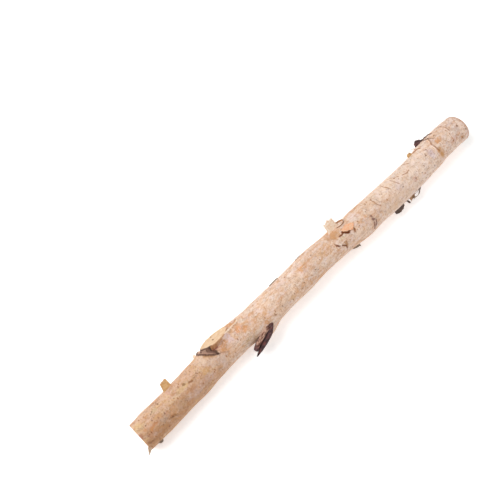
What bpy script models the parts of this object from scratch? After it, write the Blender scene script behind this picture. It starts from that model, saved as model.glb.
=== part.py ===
"""A sawn birch log, thin enough to hold in one hand, lying on its side.

It grew as one piece, so it is one object. Units are metres. X runs along the log, from the thin
end to the butt end, Z is up, and the origin lies on the surface that the log rests on, below the
middle of its box. A place on the log is given by "along", its distance from the thin end, and
"angle", in degrees round the log: 0 points along +Y, 90 straight up and 180 along -Y.
"""

import math
from collections import namedtuple

import bmesh
import bpy
import numpy as np
from mathutils import Matrix, Vector, noise

# Driving dimensions. The rim is the worn edge of the sawn ends.
LENGTH = 0.400
SIDES = 34
RINGS = 118
RIM = 0.0007

# Half the thickness of the log, by distance from the thin end
GIRTH = [
    (0.000, 0.0129), (0.014, 0.0132), (0.032, 0.0129), (0.062, 0.0131), (0.094, 0.0129),
    (0.125, 0.0131), (0.147, 0.0137), (0.163, 0.0133), (0.182, 0.0138), (0.197, 0.0138),
    (0.212, 0.0132), (0.228, 0.0132), (0.265, 0.0138), (0.281, 0.0136), (0.299, 0.0140), (0.339, 0.0137),
    (0.372, 0.0142), (0.391, 0.0134), (0.400, 0.0132),
]
# How far the heart of the log sways towards +Y
SWAY = [
    (0.000, 0.0001), (0.032, 0.0005), (0.062, 0.0018), (0.094, 0.0030), (0.125, 0.0026),
    (0.147, 0.0019), (0.163, 0.0019), (0.182, 0.0018), (0.197, 0.0025), (0.226, 0.0014), (0.249, 0.0001),
    (0.281, -0.0006), (0.297, -0.0013), (0.322, -0.0017), (0.339, -0.0013), (0.356, -0.0004),
    (0.373, 0.0008), (0.400, 0.0002),
]
# Gap under the log. Where it is below zero the log is worn flat and rests on the surface.
GAP_BELOW = [
    (0.000, 0.0009), (0.035, 0.0001), (0.060, -0.0005), (0.085, 0.0001), (0.140, 0.0013),
    (0.200, 0.0018), (0.260, 0.0012), (0.305, 0.0001), (0.330, -0.0005), (0.355, 0.0001),
    (0.400, 0.0010),
]
# The section is slightly oval, its long axis turning along the log, with low lumps
OVALNESS = 0.012
OVAL_TURN = 9
LUMP_RISE = 0.00035
LUMP_SIZE = 0.017

# Swellings of the trunk: the collars of old branches, and healed knots
Swelling = namedtuple("Swelling", "along angle rise reach_along reach_round")
SAWN_COLLAR = Swelling(0.104, 46, 0.0026, 0.013, 0.0075)
TORN_COLLAR = Swelling(0.138, 196, 0.0024, 0.008, 0.0070)
SWELLINGS = [
    SAWN_COLLAR,
    TORN_COLLAR,
    Swelling(0.077, 40, 0.0014, 0.007, 0.0100),
    Swelling(0.356, 20, 0.0010, 0.009, 0.0090),
    Swelling(0.214, -62, 0.0022, 0.010, 0.0080),
    Swelling(0.290, 205, 0.0007, 0.012, 0.0090),
    Swelling(0.060, 215, 0.0009, 0.009, 0.0070),
    Swelling(0.259, 193, 0.0011, 0.012, 0.0080),
]

# The stub of the branch that was sawn off flush: its section is pale wood
SAWN_STUB_ANGLE = 46
SAWN_STUB_LEAN = 30
SAWN_STUB_ROOT = 0.1140
SAWN_STUB_ROOT_RADIUS = 0.00735
SAWN_STUB_TIP_RADIUS = 0.0068
SAWN_STUB_LENGTH = 0.046
SAWN_FACE_ALONG = 0.097
SAWN_FACE_HEIGHT = 0.0143
SAWN_FACE_SLOPE = 2.0

# The stub of the branch that broke off: a tapering tongue with a slanting, torn upper face, and an
# end that broke to a point. Its X coordinates are distances from the thin end.
TORN_ROOT = (0.150, -0.0040, 0.0145)
TORN_TIP = (0.1070, -0.0166, 0.0124)
TORN_ROOT_RADIUS = 0.0074
TORN_TIP_RADIUS = 0.0044
TORN_FACE_POINT = (0.133, -0.0091, 0.0216)
TORN_FACE_NORMAL = (-0.13, -0.60, 0.79)
TORN_END_POINT = (0.1100, -0.0170, 0.0130)
TORN_END_NORMAL = (-0.95, 0.31, 0.00)
TORN_NOTCH_POINT = (0.1094, -0.0161, 0.0138)
TORN_NOTCH_DEPTH = 0.0044
TORN_NOTCH_WIDTH = 0.0024

# The bud knot near the butt end
BUD_ALONG = 0.3575
BUD_ANGLE = 15
BUD_RADII = (0.0042, 0.0034, 0.0034)
BUD_STAND = 0.0148

# Bark ridges: (thickness, [(along, angle), ...]). Their ends taper to a share of the thickness.
RIDGE_STEPS = 3
RIDGE_END = 0.35
RIDGES = [
    (0.0015, [(0.0735, 30), (0.0745, 44), (0.0775, 60), (0.0815, 78), (0.0870, 97)]),
    (0.0013, [(0.0735, 30), (0.0750, 14), (0.0785, -2), (0.0840, -18), (0.0890, -28)]),
    (0.0008, [(0.3570, 22), (0.3595, 48), (0.3605, 70), (0.3600, 90), (0.3575, 112), (0.3530, 132)]),
    (0.0009, [(0.3590, 16), (0.3670, 21), (0.3750, 20), (0.3820, 27)]),
    (0.0008, [(0.2600, 118), (0.2622, 128), (0.2610, 138), (0.2580, 150)]),
]

# Peeling scraps of bark. The heading is the way the free end points: 0 towards the butt end,
# 90 round the log. The lift is the free end's height over the bark.
Peel = namedtuple("Peel", "along angle length width heading lift")
PEELS = [
    Peel(0.2360, 42, 0.0100, 0.0105, -95, 0.0056),
    Peel(0.2390, 72, 0.0085, 0.0105, 150, 0.0016),
    Peel(0.2265, 108, 0.0090, 0.0085, 165, 0.0019),
    Peel(0.2435, 99, 0.0065, 0.0055, 15, 0.0015),
    Peel(0.0385, 30, 0.0080, 0.0085, -92, 0.0030),
    Peel(0.0065, 181, 0.0088, 0.0040, 172, 0.0011),
    Peel(0.0082, 186, 0.0042, 0.0046, 80, 0.0020),
    Peel(0.2370, 186, 0.0070, 0.0050, 25, 0.0024),
    Peel(0.2960, 180, 0.0075, 0.0105, 75, 0.0036),
    Peel(0.3080, 183, 0.0070, 0.0060, 60, 0.0044),
    Peel(0.3170, 181, 0.0085, 0.0050, 40, 0.0050),
    Peel(0.3445, 30, 0.0070, 0.0080, -100, 0.0024),
    Peel(0.3500, 26, 0.0060, 0.0045, -70, 0.0022),
    Peel(0.3790, -24, 0.0070, 0.0065, 20, 0.0018),
    Peel(0.1700, 8, 0.0080, 0.0060, 10, 0.0016),
    Peel(0.1920, 236, 0.0080, 0.0075, 190, 0.0018),
    Peel(0.0480, -38, 0.0085, 0.0070, -60, 0.0026),
    Peel(0.2880, -46, 0.0080, 0.0085, 20, 0.0022),
    Peel(0.3640, 208, 0.0065, 0.0060, 100, 0.0024),
]
PEEL_THICKNESS = 0.0007
PEEL_SUNK = 0.0009
PEEL_STEPS = 4
PEEL_TAPER = 0.30
PEEL_WAVE = 0.22
PEEL_SKEW = 0.18
PEEL_CURL = 1.6
STUB_SIDES = 20

BARK_COLOUR = (0.80, 0.66, 0.53, 1.0)
BARK_ROUGHNESS = 0.78
SHARP_ANGLE = 35
# The size of the blocks that take waste away
REACH = 0.060


def smooth_through(stations):
    """A smooth curve through (along, value) stations."""
    places, values = np.array(stations).T
    slopes = np.gradient(values, places)

    def curve(along):
        i = int(np.clip(np.searchsorted(places, along) - 1, 0, len(places) - 2))
        step = places[i + 1] - places[i]
        t = min(max((along - places[i]) / step, 0.0), 1.0)
        start = (1 + 2 * t) * (1 - t) ** 2 * values[i] + t * (1 - t) ** 2 * step * slopes[i]
        end = t * t * (3 - 2 * t) * values[i + 1] + t * t * (t - 1) * step * slopes[i + 1]
        return float(start + end)

    return curve


girth = smooth_through(GIRTH)
sway = smooth_through(SWAY)
gap_below = smooth_through(GAP_BELOW)


def heart(along):
    """The middle of the log's section at that distance from the thin end."""
    return Vector((along - LENGTH / 2, sway(along), gap_below(along) + girth(along)))


def outward(angle):
    """The direction away from the heart at that angle round the log."""
    turn = math.radians(angle)
    return Vector((0, math.cos(turn), math.sin(turn)))


def round_gap(angle, other):
    """The turn from one angle to another, in degrees, the shorter way."""
    return (angle - other + 180) % 360 - 180


def swell(along, angle):
    """How far the swellings raise the bark at a place."""
    total = 0.0
    for one in SWELLINGS:
        away = (along - one.along) / one.reach_along
        beside = math.radians(round_gap(angle, one.angle)) * girth(along) / one.reach_round
        total += one.rise * math.exp(-away * away - beside * beside)
    return total


def bark_radius(along, angle):
    """From the heart to the bark at a place."""
    size = girth(along)
    turn = math.radians(angle)
    oval = 1 + OVALNESS * math.sin(2 * turn + OVAL_TURN * along / LENGTH)
    spot = Vector((along, size * math.cos(turn), size * math.sin(turn))) / LUMP_SIZE
    return size * oval + LUMP_RISE * noise.noise(spot) + swell(along, angle)


def on_bark(along, angle, height=0.0):
    """A point over the bark at a place."""
    return heart(along) + outward(angle) * (bark_radius(along, angle) + height)


def bark_material():
    """Pale birch bark."""
    material = bpy.data.materials.new("birch_bark")
    material.use_nodes = True
    shader = material.node_tree.nodes["Principled BSDF"]
    shader.inputs["Base Color"].default_value = BARK_COLOUR
    shader.inputs["Roughness"].default_value = BARK_ROUGHNESS
    shader.inputs["Metallic"].default_value = 0.0
    material.diffuse_color = BARK_COLOUR
    return material


def add_object(name, mesh, collection):
    """A mesh as an object in a collection."""
    obj = bpy.data.objects.new(name, mesh)
    collection.objects.link(obj)
    return obj


def mesh_of(name, bm):
    """A bmesh as a finished mesh."""
    mesh = bpy.data.meshes.new(name)
    bm.to_mesh(mesh)
    bm.free()
    return mesh


def trunk(collection):
    """A cylinder with many rings, each of them moved out to the bark."""
    bm = bmesh.new()
    bmesh.ops.create_cone(bm, cap_ends=True, segments=SIDES, radius1=1, radius2=1, depth=1)
    lengthwise = [edge for edge in bm.edges if abs(edge.verts[0].co.z - edge.verts[1].co.z) > 0.5]
    bmesh.ops.subdivide_edges(bm, edges=lengthwise, cuts=RINGS - 1, use_grid_fill=True)
    for vert in bm.verts:
        ring = round((vert.co.z + 0.5) * RINGS)
        angle = math.degrees(math.atan2(vert.co.x, vert.co.y))
        at_end = ring in (0, RINGS)
        along = LENGTH * ring / RINGS
        if ring in (1, RINGS - 1):
            along = RIM if ring == 1 else LENGTH - RIM
        vert.co = on_bark(along, angle, -RIM if at_end else 0.0)
    bmesh.ops.recalc_face_normals(bm, faces=bm.faces)
    return add_object("log", mesh_of("log", bm), collection)


def cone_between(name, start, end, start_radius, end_radius, collection):
    """A round stub from one point to another."""
    bm = bmesh.new()
    run = Vector(end) - Vector(start)
    bmesh.ops.create_cone(
        bm, cap_ends=True, segments=STUB_SIDES, radius1=start_radius, radius2=end_radius, depth=run.length
    )
    turn = run.to_track_quat("Z", "Y").to_matrix().to_4x4()
    place = Matrix.Translation((Vector(start) + Vector(end)) / 2)
    bmesh.ops.transform(bm, matrix=place @ turn, verts=bm.verts)
    return add_object(name, mesh_of(name, bm), collection)


def block_over(name, point, normal, size, collection):
    """A box that stands on a plane, on the side that its normal points to: a saw cut's waste."""
    bm = bmesh.new()
    bmesh.ops.create_cube(bm, size=1)
    turn = Vector(normal).to_track_quat("Z", "Y").to_matrix().to_4x4()
    place = Matrix.Translation(point) @ turn @ Matrix.Translation((0, 0, size[2] / 2))
    bmesh.ops.transform(bm, matrix=place @ Matrix.Diagonal((*size, 1)), verts=bm.verts)
    return add_object(name, mesh_of(name, bm), collection)


def notch_wedge(name, point, heading, across, depth, width, collection):
    """A three-sided wedge that takes a notch out of a broken end."""
    bm = bmesh.new()
    bmesh.ops.create_cone(bm, cap_ends=True, segments=3, radius1=width, radius2=width, depth=REACH / 2)
    stretch = Matrix.Diagonal((depth / width, 1, 1, 1))
    forward = Vector(heading).normalized()
    side = Vector(across).cross(forward).normalized()
    axes = Matrix((forward, side, forward.cross(side))).transposed().to_4x4()
    bmesh.ops.transform(bm, matrix=Matrix.Translation(point) @ axes @ stretch, verts=bm.verts)
    return add_object(name, mesh_of(name, bm), collection)


def from_thin_end(place):
    """A point whose X is a distance from the thin end, in the log's own frame."""
    return Vector(place) - Vector((LENGTH / 2, 0, 0))


def sawn_stub(collection):
    """The branch that left the trunk towards the thin end, up to its saw cut and beyond."""
    lean = math.radians(SAWN_STUB_LEAN)
    way = Vector((-math.cos(lean), 0, 0)) + outward(SAWN_STUB_ANGLE) * math.sin(lean)
    root = heart(SAWN_STUB_ROOT)
    end = root + way * SAWN_STUB_LENGTH
    return cone_between("sawn_stub", root, end, SAWN_STUB_ROOT_RADIUS, SAWN_STUB_TIP_RADIUS, collection)


def sawn_stub_waste(collection):
    """What the saw took off that branch, almost flush with the bark."""
    tilt = math.radians(SAWN_FACE_SLOPE)
    radial = outward(SAWN_STUB_ANGLE)
    normal = radial * math.cos(tilt) + Vector((math.sin(tilt), 0, 0))
    point = heart(SAWN_FACE_ALONG) + radial * SAWN_FACE_HEIGHT
    return block_over("sawn_waste", point, normal, (REACH, REACH, REACH / 2), collection)


def torn_stub(collection):
    """The broken branch, with what tore off it taken away."""
    root = from_thin_end(TORN_ROOT)
    tip = from_thin_end(TORN_TIP)
    stub = cone_between("torn_stub", root, tip, TORN_ROOT_RADIUS, TORN_TIP_RADIUS, collection)
    waste = (REACH, REACH, REACH / 2)
    wastes = [
        block_over("torn_off_face", from_thin_end(TORN_FACE_POINT), TORN_FACE_NORMAL, waste, collection),
        block_over("torn_off_end", from_thin_end(TORN_END_POINT), TORN_END_NORMAL, waste, collection),
        notch_wedge(
            "torn_notch", from_thin_end(TORN_NOTCH_POINT), root - tip, TORN_FACE_NORMAL,
            TORN_NOTCH_DEPTH, TORN_NOTCH_WIDTH, collection,
        ),
    ]
    for piece in wastes:
        combine(stub, piece, "DIFFERENCE")
    apply_modifiers(stub)
    return stub


def bud(collection):
    """The knob of a bud that never grew out."""
    bm = bmesh.new()
    bmesh.ops.create_uvsphere(bm, u_segments=14, v_segments=8, radius=1)
    radial = outward(BUD_ANGLE)
    axes = Matrix((Vector((1, 0, 0)), radial.cross(Vector((1, 0, 0))), radial)).transposed().to_4x4()
    place = Matrix.Translation(heart(BUD_ALONG) + radial * BUD_STAND)
    bmesh.ops.transform(bm, matrix=place @ axes @ Matrix.Diagonal((*BUD_RADII, 1)), verts=bm.verts)
    bmesh.ops.recalc_face_normals(bm, faces=bm.faces)
    return add_object("bud", mesh_of("bud", bm), collection)


def ridge(number, thickness, places, collection):
    """A ridge of bark that follows the surface, half sunk in it and thin at its ends."""
    curve = bpy.data.curves.new("ridge_curve", "CURVE")
    curve.dimensions = "3D"
    curve.bevel_depth = thickness
    curve.bevel_resolution = 1
    curve.use_fill_caps = True
    alongs = smooth_through([(i, place[0]) for i, place in enumerate(places)])
    angles = smooth_through([(i, place[1]) for i, place in enumerate(places)])
    steps = RIDGE_STEPS * (len(places) - 1)
    spline = curve.splines.new("POLY")
    spline.points.add(steps)
    for i, point in enumerate(spline.points):
        t = i / steps
        at = t * (len(places) - 1)
        point.co = (*on_bark(alongs(at), angles(at)), 1)
        point.radius = RIDGE_END + (1 - RIDGE_END) * math.sin(math.pi * t) ** 0.7
    tube = add_object("ridge_tube", curve, collection)
    bpy.context.view_layer.update()
    graph = bpy.context.evaluated_depsgraph_get()
    mesh = bpy.data.meshes.new_from_object(tube.evaluated_get(graph))
    bpy.data.objects.remove(tube)
    bm = bmesh.new()
    bm.from_mesh(mesh)
    bmesh.ops.remove_doubles(bm, verts=bm.verts, dist=1e-6)
    bmesh.ops.recalc_face_normals(bm, faces=bm.faces)
    return add_object(f"ridge_{number}", mesh_of(f"ridge_{number}", bm), collection)


def peel(number, one, collection):
    """A scrap of bark whose root is sunk in the log and whose free end curls away from it."""
    bm = bmesh.new()
    bmesh.ops.create_grid(bm, x_segments=PEEL_STEPS, y_segments=PEEL_STEPS, size=0.5)
    for vert in bm.verts:
        run = vert.co.x + 0.5
        ragged = 1 - PEEL_TAPER * run + PEEL_WAVE * math.sin(9 * run + number)
        beside = vert.co.y * one.width * ragged
        forward = one.length * run * (1 + PEEL_SKEW * math.sin(5 * vert.co.y + 2 * number))
        heading = math.radians(one.heading)
        along = one.along + forward * math.cos(heading) - beside * math.sin(heading)
        round_it = forward * math.sin(heading) + beside * math.cos(heading)
        angle = one.angle + math.degrees(round_it / girth(one.along))
        vert.co = on_bark(along, angle, -PEEL_SUNK + (one.lift + PEEL_SUNK) * run**PEEL_CURL)
    bmesh.ops.recalc_face_normals(bm, faces=bm.faces)
    scrap = add_object(f"peel_{number}", mesh_of(f"peel_{number}", bm), collection)
    shell = scrap.modifiers.new("thickness", "SOLIDIFY")
    shell.thickness = PEEL_THICKNESS
    shell.offset = 0
    return scrap


def combine(body, tool, operation):
    """One Boolean on the log, with an object or with a whole collection."""
    step = body.modifiers.new("join", "BOOLEAN")
    step.operation = operation
    step.solver = "EXACT"
    if isinstance(tool, bpy.types.Collection):
        step.operand_type = "COLLECTION"
        step.collection = tool
    else:
        step.object = tool


def apply_modifiers(body):
    """The evaluated mesh takes the place of the modifiers."""
    bpy.context.view_layer.update()
    graph = bpy.context.evaluated_depsgraph_get()
    mesh = bpy.data.meshes.new_from_object(body.evaluated_get(graph))
    body.modifiers.clear()
    body.data = mesh


def remove_all(collection):
    """Clears the helpers that a union has used."""
    for obj in list(collection.objects):
        bpy.data.objects.remove(obj)
    bpy.data.collections.remove(collection)


def centre(body):
    """Moves the mesh until the middle of its box's underside is the origin."""
    corners = np.array([vert.co for vert in body.data.vertices])
    low, high = corners.min(axis=0), corners.max(axis=0)
    away = Vector((-(low[0] + high[0]) / 2, -(low[1] + high[1]) / 2, -low[2]))
    body.data.transform(Matrix.Translation(away))


def new_collection(name):
    """An empty collection in the scene."""
    collection = bpy.data.collections.new(name)
    bpy.context.scene.collection.children.link(collection)
    return collection


def build():
    """The whole log."""
    for obj in list(bpy.data.objects):
        bpy.data.objects.remove(obj)
    parts = new_collection("wood_log")
    log = trunk(parts)

    stubs = new_collection("stubs")
    sawn_stub(stubs)
    combine(log, stubs, "UNION")
    apply_modifiers(log)
    remove_all(stubs)

    saw_cuts = new_collection("saw_cuts")
    combine(log, sawn_stub_waste(saw_cuts), "DIFFERENCE")
    apply_modifiers(log)
    remove_all(saw_cuts)

    torn = new_collection("torn")
    combine(log, torn_stub(torn), "UNION")
    apply_modifiers(log)
    remove_all(torn)

    raised = new_collection("raised")
    bud(raised)
    for number, (thickness, places) in enumerate(RIDGES):
        ridge(number, thickness, places, raised)
    for number, one in enumerate(PEELS):
        peel(number, one, raised)
    combine(log, raised, "UNION")
    apply_modifiers(log)
    remove_all(raised)

    ground = new_collection("ground")
    below = block_over("below_surface", (0, 0, 0), (0, 0, -1), (2 * LENGTH, LENGTH, REACH), ground)
    combine(log, below, "DIFFERENCE")
    apply_modifiers(log)
    remove_all(ground)
    centre(log)

    log.data.materials.clear()
    log.data.materials.append(bark_material())
    log.data.shade_smooth()
    log.data.set_sharp_from_angle(angle=math.radians(SHARP_ANGLE))


build()
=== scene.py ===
# %% [markdown]
# # A birch log with its bark on
#
# The object is one slender birch log, sawn square at both ends. A sawn branch stub, a broken branch
# stub and curls of papery bark grow out of it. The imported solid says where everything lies; this script
# gives the log its fine surface. We load the solid first, because each piece is placed by it.

import math
from collections import namedtuple

import bmesh
import bpy
import numpy as np
from mathutils import Matrix, Vector, noise
from mathutils.bvhtree import BVHTree


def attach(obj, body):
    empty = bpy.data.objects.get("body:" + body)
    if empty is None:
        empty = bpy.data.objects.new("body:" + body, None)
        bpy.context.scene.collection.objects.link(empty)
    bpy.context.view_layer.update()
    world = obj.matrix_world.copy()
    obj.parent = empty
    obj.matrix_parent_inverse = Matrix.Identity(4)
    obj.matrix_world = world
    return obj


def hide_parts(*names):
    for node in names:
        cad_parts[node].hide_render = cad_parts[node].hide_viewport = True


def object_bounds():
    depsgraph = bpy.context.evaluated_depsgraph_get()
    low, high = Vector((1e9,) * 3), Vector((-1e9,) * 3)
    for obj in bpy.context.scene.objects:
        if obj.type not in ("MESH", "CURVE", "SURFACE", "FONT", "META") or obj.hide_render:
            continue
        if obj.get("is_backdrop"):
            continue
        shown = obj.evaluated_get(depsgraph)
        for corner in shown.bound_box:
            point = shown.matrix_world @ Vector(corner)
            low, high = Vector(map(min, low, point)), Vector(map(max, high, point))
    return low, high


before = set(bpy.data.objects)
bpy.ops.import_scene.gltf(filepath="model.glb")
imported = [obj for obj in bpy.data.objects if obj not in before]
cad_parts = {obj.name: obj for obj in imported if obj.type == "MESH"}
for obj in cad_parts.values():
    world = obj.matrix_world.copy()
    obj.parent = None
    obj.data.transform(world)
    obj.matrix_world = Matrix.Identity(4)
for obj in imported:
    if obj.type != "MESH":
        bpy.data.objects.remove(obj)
solid_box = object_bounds()
print("solid, mm:", [round(1000 * side, 1) for side in solid_box[1] - solid_box[0]])

# %% [markdown]
# ## Where the wood is
#
# A log's shape follows a rule: a heart line that sways a little, a girth that swells and narrows, and
# bark lying round it. We start from the same stations as the solid and draw a smooth curve through them,
# a third of a millimetre slimmer, which leaves room for the bark's relief. A place on the log is then two
# numbers: "along", the distance from the thin end, and "angle", in degrees round the log, where 0 points
# along +Y, 90 straight up and 180 along -Y. The sawn butt end of the solid tells where that rule lies in
# the frame.

# %% Stations of the trunk
LENGTH = 0.400
RIM = 0.0007
BARK_ROOM = 0.00033
GIRTH = [
    (0.000, 0.0129), (0.014, 0.0132), (0.032, 0.0129), (0.062, 0.0131), (0.094, 0.0129),
    (0.125, 0.0131), (0.147, 0.0137), (0.163, 0.0133), (0.182, 0.0138), (0.197, 0.0138),
    (0.212, 0.0132), (0.228, 0.0132), (0.265, 0.0138), (0.281, 0.0136), (0.299, 0.0140),
    (0.339, 0.0137), (0.372, 0.0142), (0.391, 0.0140), (0.400, 0.0139),
]
SWAY = [
    (0.000, 0.0001), (0.032, 0.0005), (0.062, 0.0018), (0.094, 0.0030), (0.125, 0.0026),
    (0.147, 0.0019), (0.163, 0.0019), (0.182, 0.0018), (0.197, 0.0025), (0.226, 0.0014),
    (0.249, 0.0001), (0.281, -0.0006), (0.297, -0.0013), (0.322, -0.0017), (0.339, -0.0013),
    (0.356, -0.0004), (0.373, 0.0008), (0.400, 0.0002),
]
GAP_BELOW = [
    (0.000, 0.0009), (0.035, 0.0001), (0.060, -0.0005), (0.085, 0.0001), (0.140, 0.0013),
    (0.200, 0.0018), (0.260, 0.0012), (0.305, 0.0001), (0.330, -0.0005), (0.355, 0.0001),
    (0.400, 0.0010),
]
NEARER = [(0.000, 0.0003), (0.340, 0.0003), (0.370, 0.0004), (0.400, 0.0007)]
Swelling = namedtuple("Swelling", "along angle rise reach_along reach_round")
SWELLINGS = [
    Swelling(0.106, 46, 0.0026, 0.013, 0.0075),
    Swelling(0.131, 196, 0.0046, 0.0095, 0.0080),
    Swelling(0.077, 40, 0.0014, 0.007, 0.0100),
    Swelling(0.356, 20, 0.0010, 0.009, 0.0090),
    Swelling(0.214, -62, 0.0022, 0.010, 0.0080),
    Swelling(0.290, 205, 0.0007, 0.012, 0.0090),
    Swelling(0.060, 215, 0.0009, 0.009, 0.0070),
    Swelling(0.259, 193, 0.0011, 0.012, 0.0080),
]


def clipped(number, low, high):
    """That number, or the nearest one from low to high."""
    return min(max(number, low), high)


def smooth_through(stations):
    """A smooth curve through (along, value) stations."""
    places, values = np.array(stations).T
    slopes = np.gradient(values, places)

    def curve(along):
        i = int(np.clip(np.searchsorted(places, along) - 1, 0, len(places) - 2))
        step = places[i + 1] - places[i]
        t = clipped((along - places[i]) / step, 0.0, 1.0)
        start = (1 + 2 * t) * (1 - t) ** 2 * values[i] + t * (1 - t) ** 2 * step * slopes[i]
        end = t * t * (3 - 2 * t) * values[i + 1] + t * t * (t - 1) * step * slopes[i + 1]
        return float(start + end)

    return curve


girth = smooth_through([(along, size - BARK_ROOM) for along, size in GIRTH])
sway = smooth_through(SWAY)
nearer = smooth_through(NEARER)
gap_below = smooth_through(GAP_BELOW)
print("girth at the ends, mm:", round(1000 * girth(0.0), 2), round(1000 * girth(LENGTH), 2))

# %% Find the trunk in the frame
corners = np.array([vert.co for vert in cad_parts["log"].data.vertices])
BUTT_X = float(corners[:, 0].max())
butt_disc = corners[corners[:, 0] > BUTT_X - RIM / 20]
THIN_X = BUTT_X - LENGTH
SHIFT_Y = float(butt_disc[:, 1].min() + butt_disc[:, 1].max()) / 2 - sway(LENGTH)
print("thin end at x, mm:", round(1000 * THIN_X, 2), "heart shifted in y, mm:", round(1000 * SHIFT_Y, 2))


def heart(along):
    """The middle of the log's section at that distance from the thin end."""
    aside = SHIFT_Y + sway(along) - nearer(along)
    return Vector((THIN_X + along, aside, gap_below(along) + girth(along)))


def outward(angle):
    """The direction away from the heart at that angle round the log."""
    turn = math.radians(angle)
    return Vector((0, math.cos(turn), math.sin(turn)))


def kept_inside(place, room=0.0003):
    """That place, moved to lie inside the solid's box."""
    low, high = solid_box
    return Vector([clipped(number, low[i] + room, high[i] - room) for i, number in enumerate(place)])


# %% [markdown]
# ## Camera, light and floor
#
# The photograph looks down on the log from over its thin end, with a level horizon. We set the camera
# first. A studio would light it with one large soft box from the upper left and a bright room, which
# leaves only a faint shadow on a pale floor.

# %% Set up the studio
CAMERA_OUT = 0.1169
CAMERA_HEIGHT = 0.5131
CAMERA_HEADING = 44.37
CAMERA_DOWN = 64.38
CAMERA_CLIP = 0.01
SENSOR = 36.0
LENS = 46.08
LAMP_SIZE = 0.9
LAMPS = {"key_light": ((-0.75, 0.55, 1.15), 16.0), "fill_light": ((0.5, -0.9, 0.9), 2.0)}
ROOM_LIGHT = 0.50


def add_object(name, data):
    """An object in the scene that holds that data."""
    obj = bpy.data.objects.new(name, data)
    bpy.context.scene.collection.objects.link(obj)
    return obj


def soft_box(name, place, watts):
    """A square studio lamp that looks at the middle of the floor."""
    lamp = bpy.data.lights.new(name, "AREA")
    lamp.size = LAMP_SIZE
    lamp.energy = watts
    obj = add_object(name, lamp)
    obj.location = place
    obj.rotation_euler = Vector(place).to_track_quat("Z", "Y").to_euler()


camera = add_object("camera", bpy.data.cameras.new("camera"))
camera.data.sensor_width = SENSOR
camera.data.lens = LENS
camera.data.clip_start = CAMERA_CLIP
camera.location = (THIN_X, SHIFT_Y - CAMERA_OUT, CAMERA_HEIGHT)
camera.rotation_euler = (math.radians(90 - CAMERA_DOWN), 0, math.radians(CAMERA_HEADING - 90))
bpy.context.scene.camera = camera
for name, (place, watts) in LAMPS.items():
    soft_box(name, place, watts)
room = bpy.data.worlds.new("room")
room.use_nodes = True
background = room.node_tree.nodes["Background"].inputs
background["Color"].default_value = (1, 1, 1, 1)
background["Strength"].default_value = ROOM_LIGHT
bpy.context.scene.world = room
bpy.context.scene.view_settings.view_transform = "Standard"
print("lamps:", list(LAMPS))

# %% [markdown]
# ## Sums with sockets
#
# Shape and finish both come down to sums on what varies over the bark. Nodes can do them, but a wired sum
# is hard to read. So a small class wraps one socket and gives it Python's operators: writing a + b then
# adds a Math node to the tree. The same class serves Geometry Nodes and materials.

# %% A socket that can be added and multiplied


class Term:
    """One output socket, usable in Python sums."""

    def __init__(self, nodes, socket):
        self.nodes = nodes
        self.socket = socket

    def math(self, operation, *others):
        return self.nodes.add("ShaderNodeMath", {"operation": operation}, self, *others)

    def vector_math(self, operation, *others, output=0):
        settings = {"operation": operation}
        return self.nodes.add("ShaderNodeVectorMath", settings, self, *others, output=output)

    def __neg__(self):
        return self.math("MULTIPLY", -1.0)

    def root(self):
        return (self.math("MAXIMUM", 0.0)).math("SQRT")

    def exp(self):
        return self.math("EXPONENT")

    def wave(self):
        return self.math("SINE")

    def above(self, other):
        return self.math("GREATER_THAN", other)

    def at_least(self, other):
        return self.math("MAXIMUM", other)

    def at_most(self, other):
        return self.math("MINIMUM", other)

    def clamped(self):
        return self.at_least(0.0).at_most(1.0)

    def ease(self, low, high):
        """0 below low, 1 above high, and a smooth rise between."""
        settings = {"interpolation_type": "SMOOTHSTEP"}
        sockets = {"Value": self, "From Min": low, "From Max": high}
        return self.nodes.add("ShaderNodeMapRange", settings, sockets=sockets)

    def fade(self, low, high):
        """1 below low, 0 above high, and a smooth fall between."""
        return 1 - self.ease(low, high)

    def band(self, rise, fall):
        """1 between a smooth rise and a smooth fall, each from one value to another."""
        return self.ease(*rise) * self.fade(*fall)

    def part(self, axis):
        """One number of a vector: 0, 1 or 2."""
        return self.nodes.add("ShaderNodeSeparateXYZ", {}, self, output=axis)

    def minus(self, point):
        return self.vector_math("SUBTRACT", point)

    def plus(self, point):
        return self.vector_math("ADD", point)

    def times(self, sizes):
        return self.vector_math("MULTIPLY", sizes)

    def dot(self, other):
        return self.vector_math("DOT_PRODUCT", other, output=1)

    def size(self):
        return self.vector_math("LENGTH", output=1)


def give_operator(name, operation):
    """Lets Term take part in one of Python's operators, from either side."""

    def forward(self, other):
        return self.math(operation, other)

    def reflected(self, other):
        return self.nodes.add("ShaderNodeMath", {"operation": operation}, other, self)

    setattr(Term, f"__{name}__", forward)
    setattr(Term, f"__r{name}__", reflected)


for name, operation in (("add", "ADD"), ("sub", "SUBTRACT"), ("mul", "MULTIPLY"), ("truediv", "DIVIDE")):
    give_operator(name, operation)


def shade(code):
    """A printed colour as the shader wants it."""
    parts = [int(code[i:i + 2], 16) / 255 for i in (0, 2, 4)]
    linear = [part / 12.92 if part <= 0.04045 else ((part + 0.055) / 1.055) ** 2.4 for part in parts]
    return (*linear, 1.0)


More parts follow.
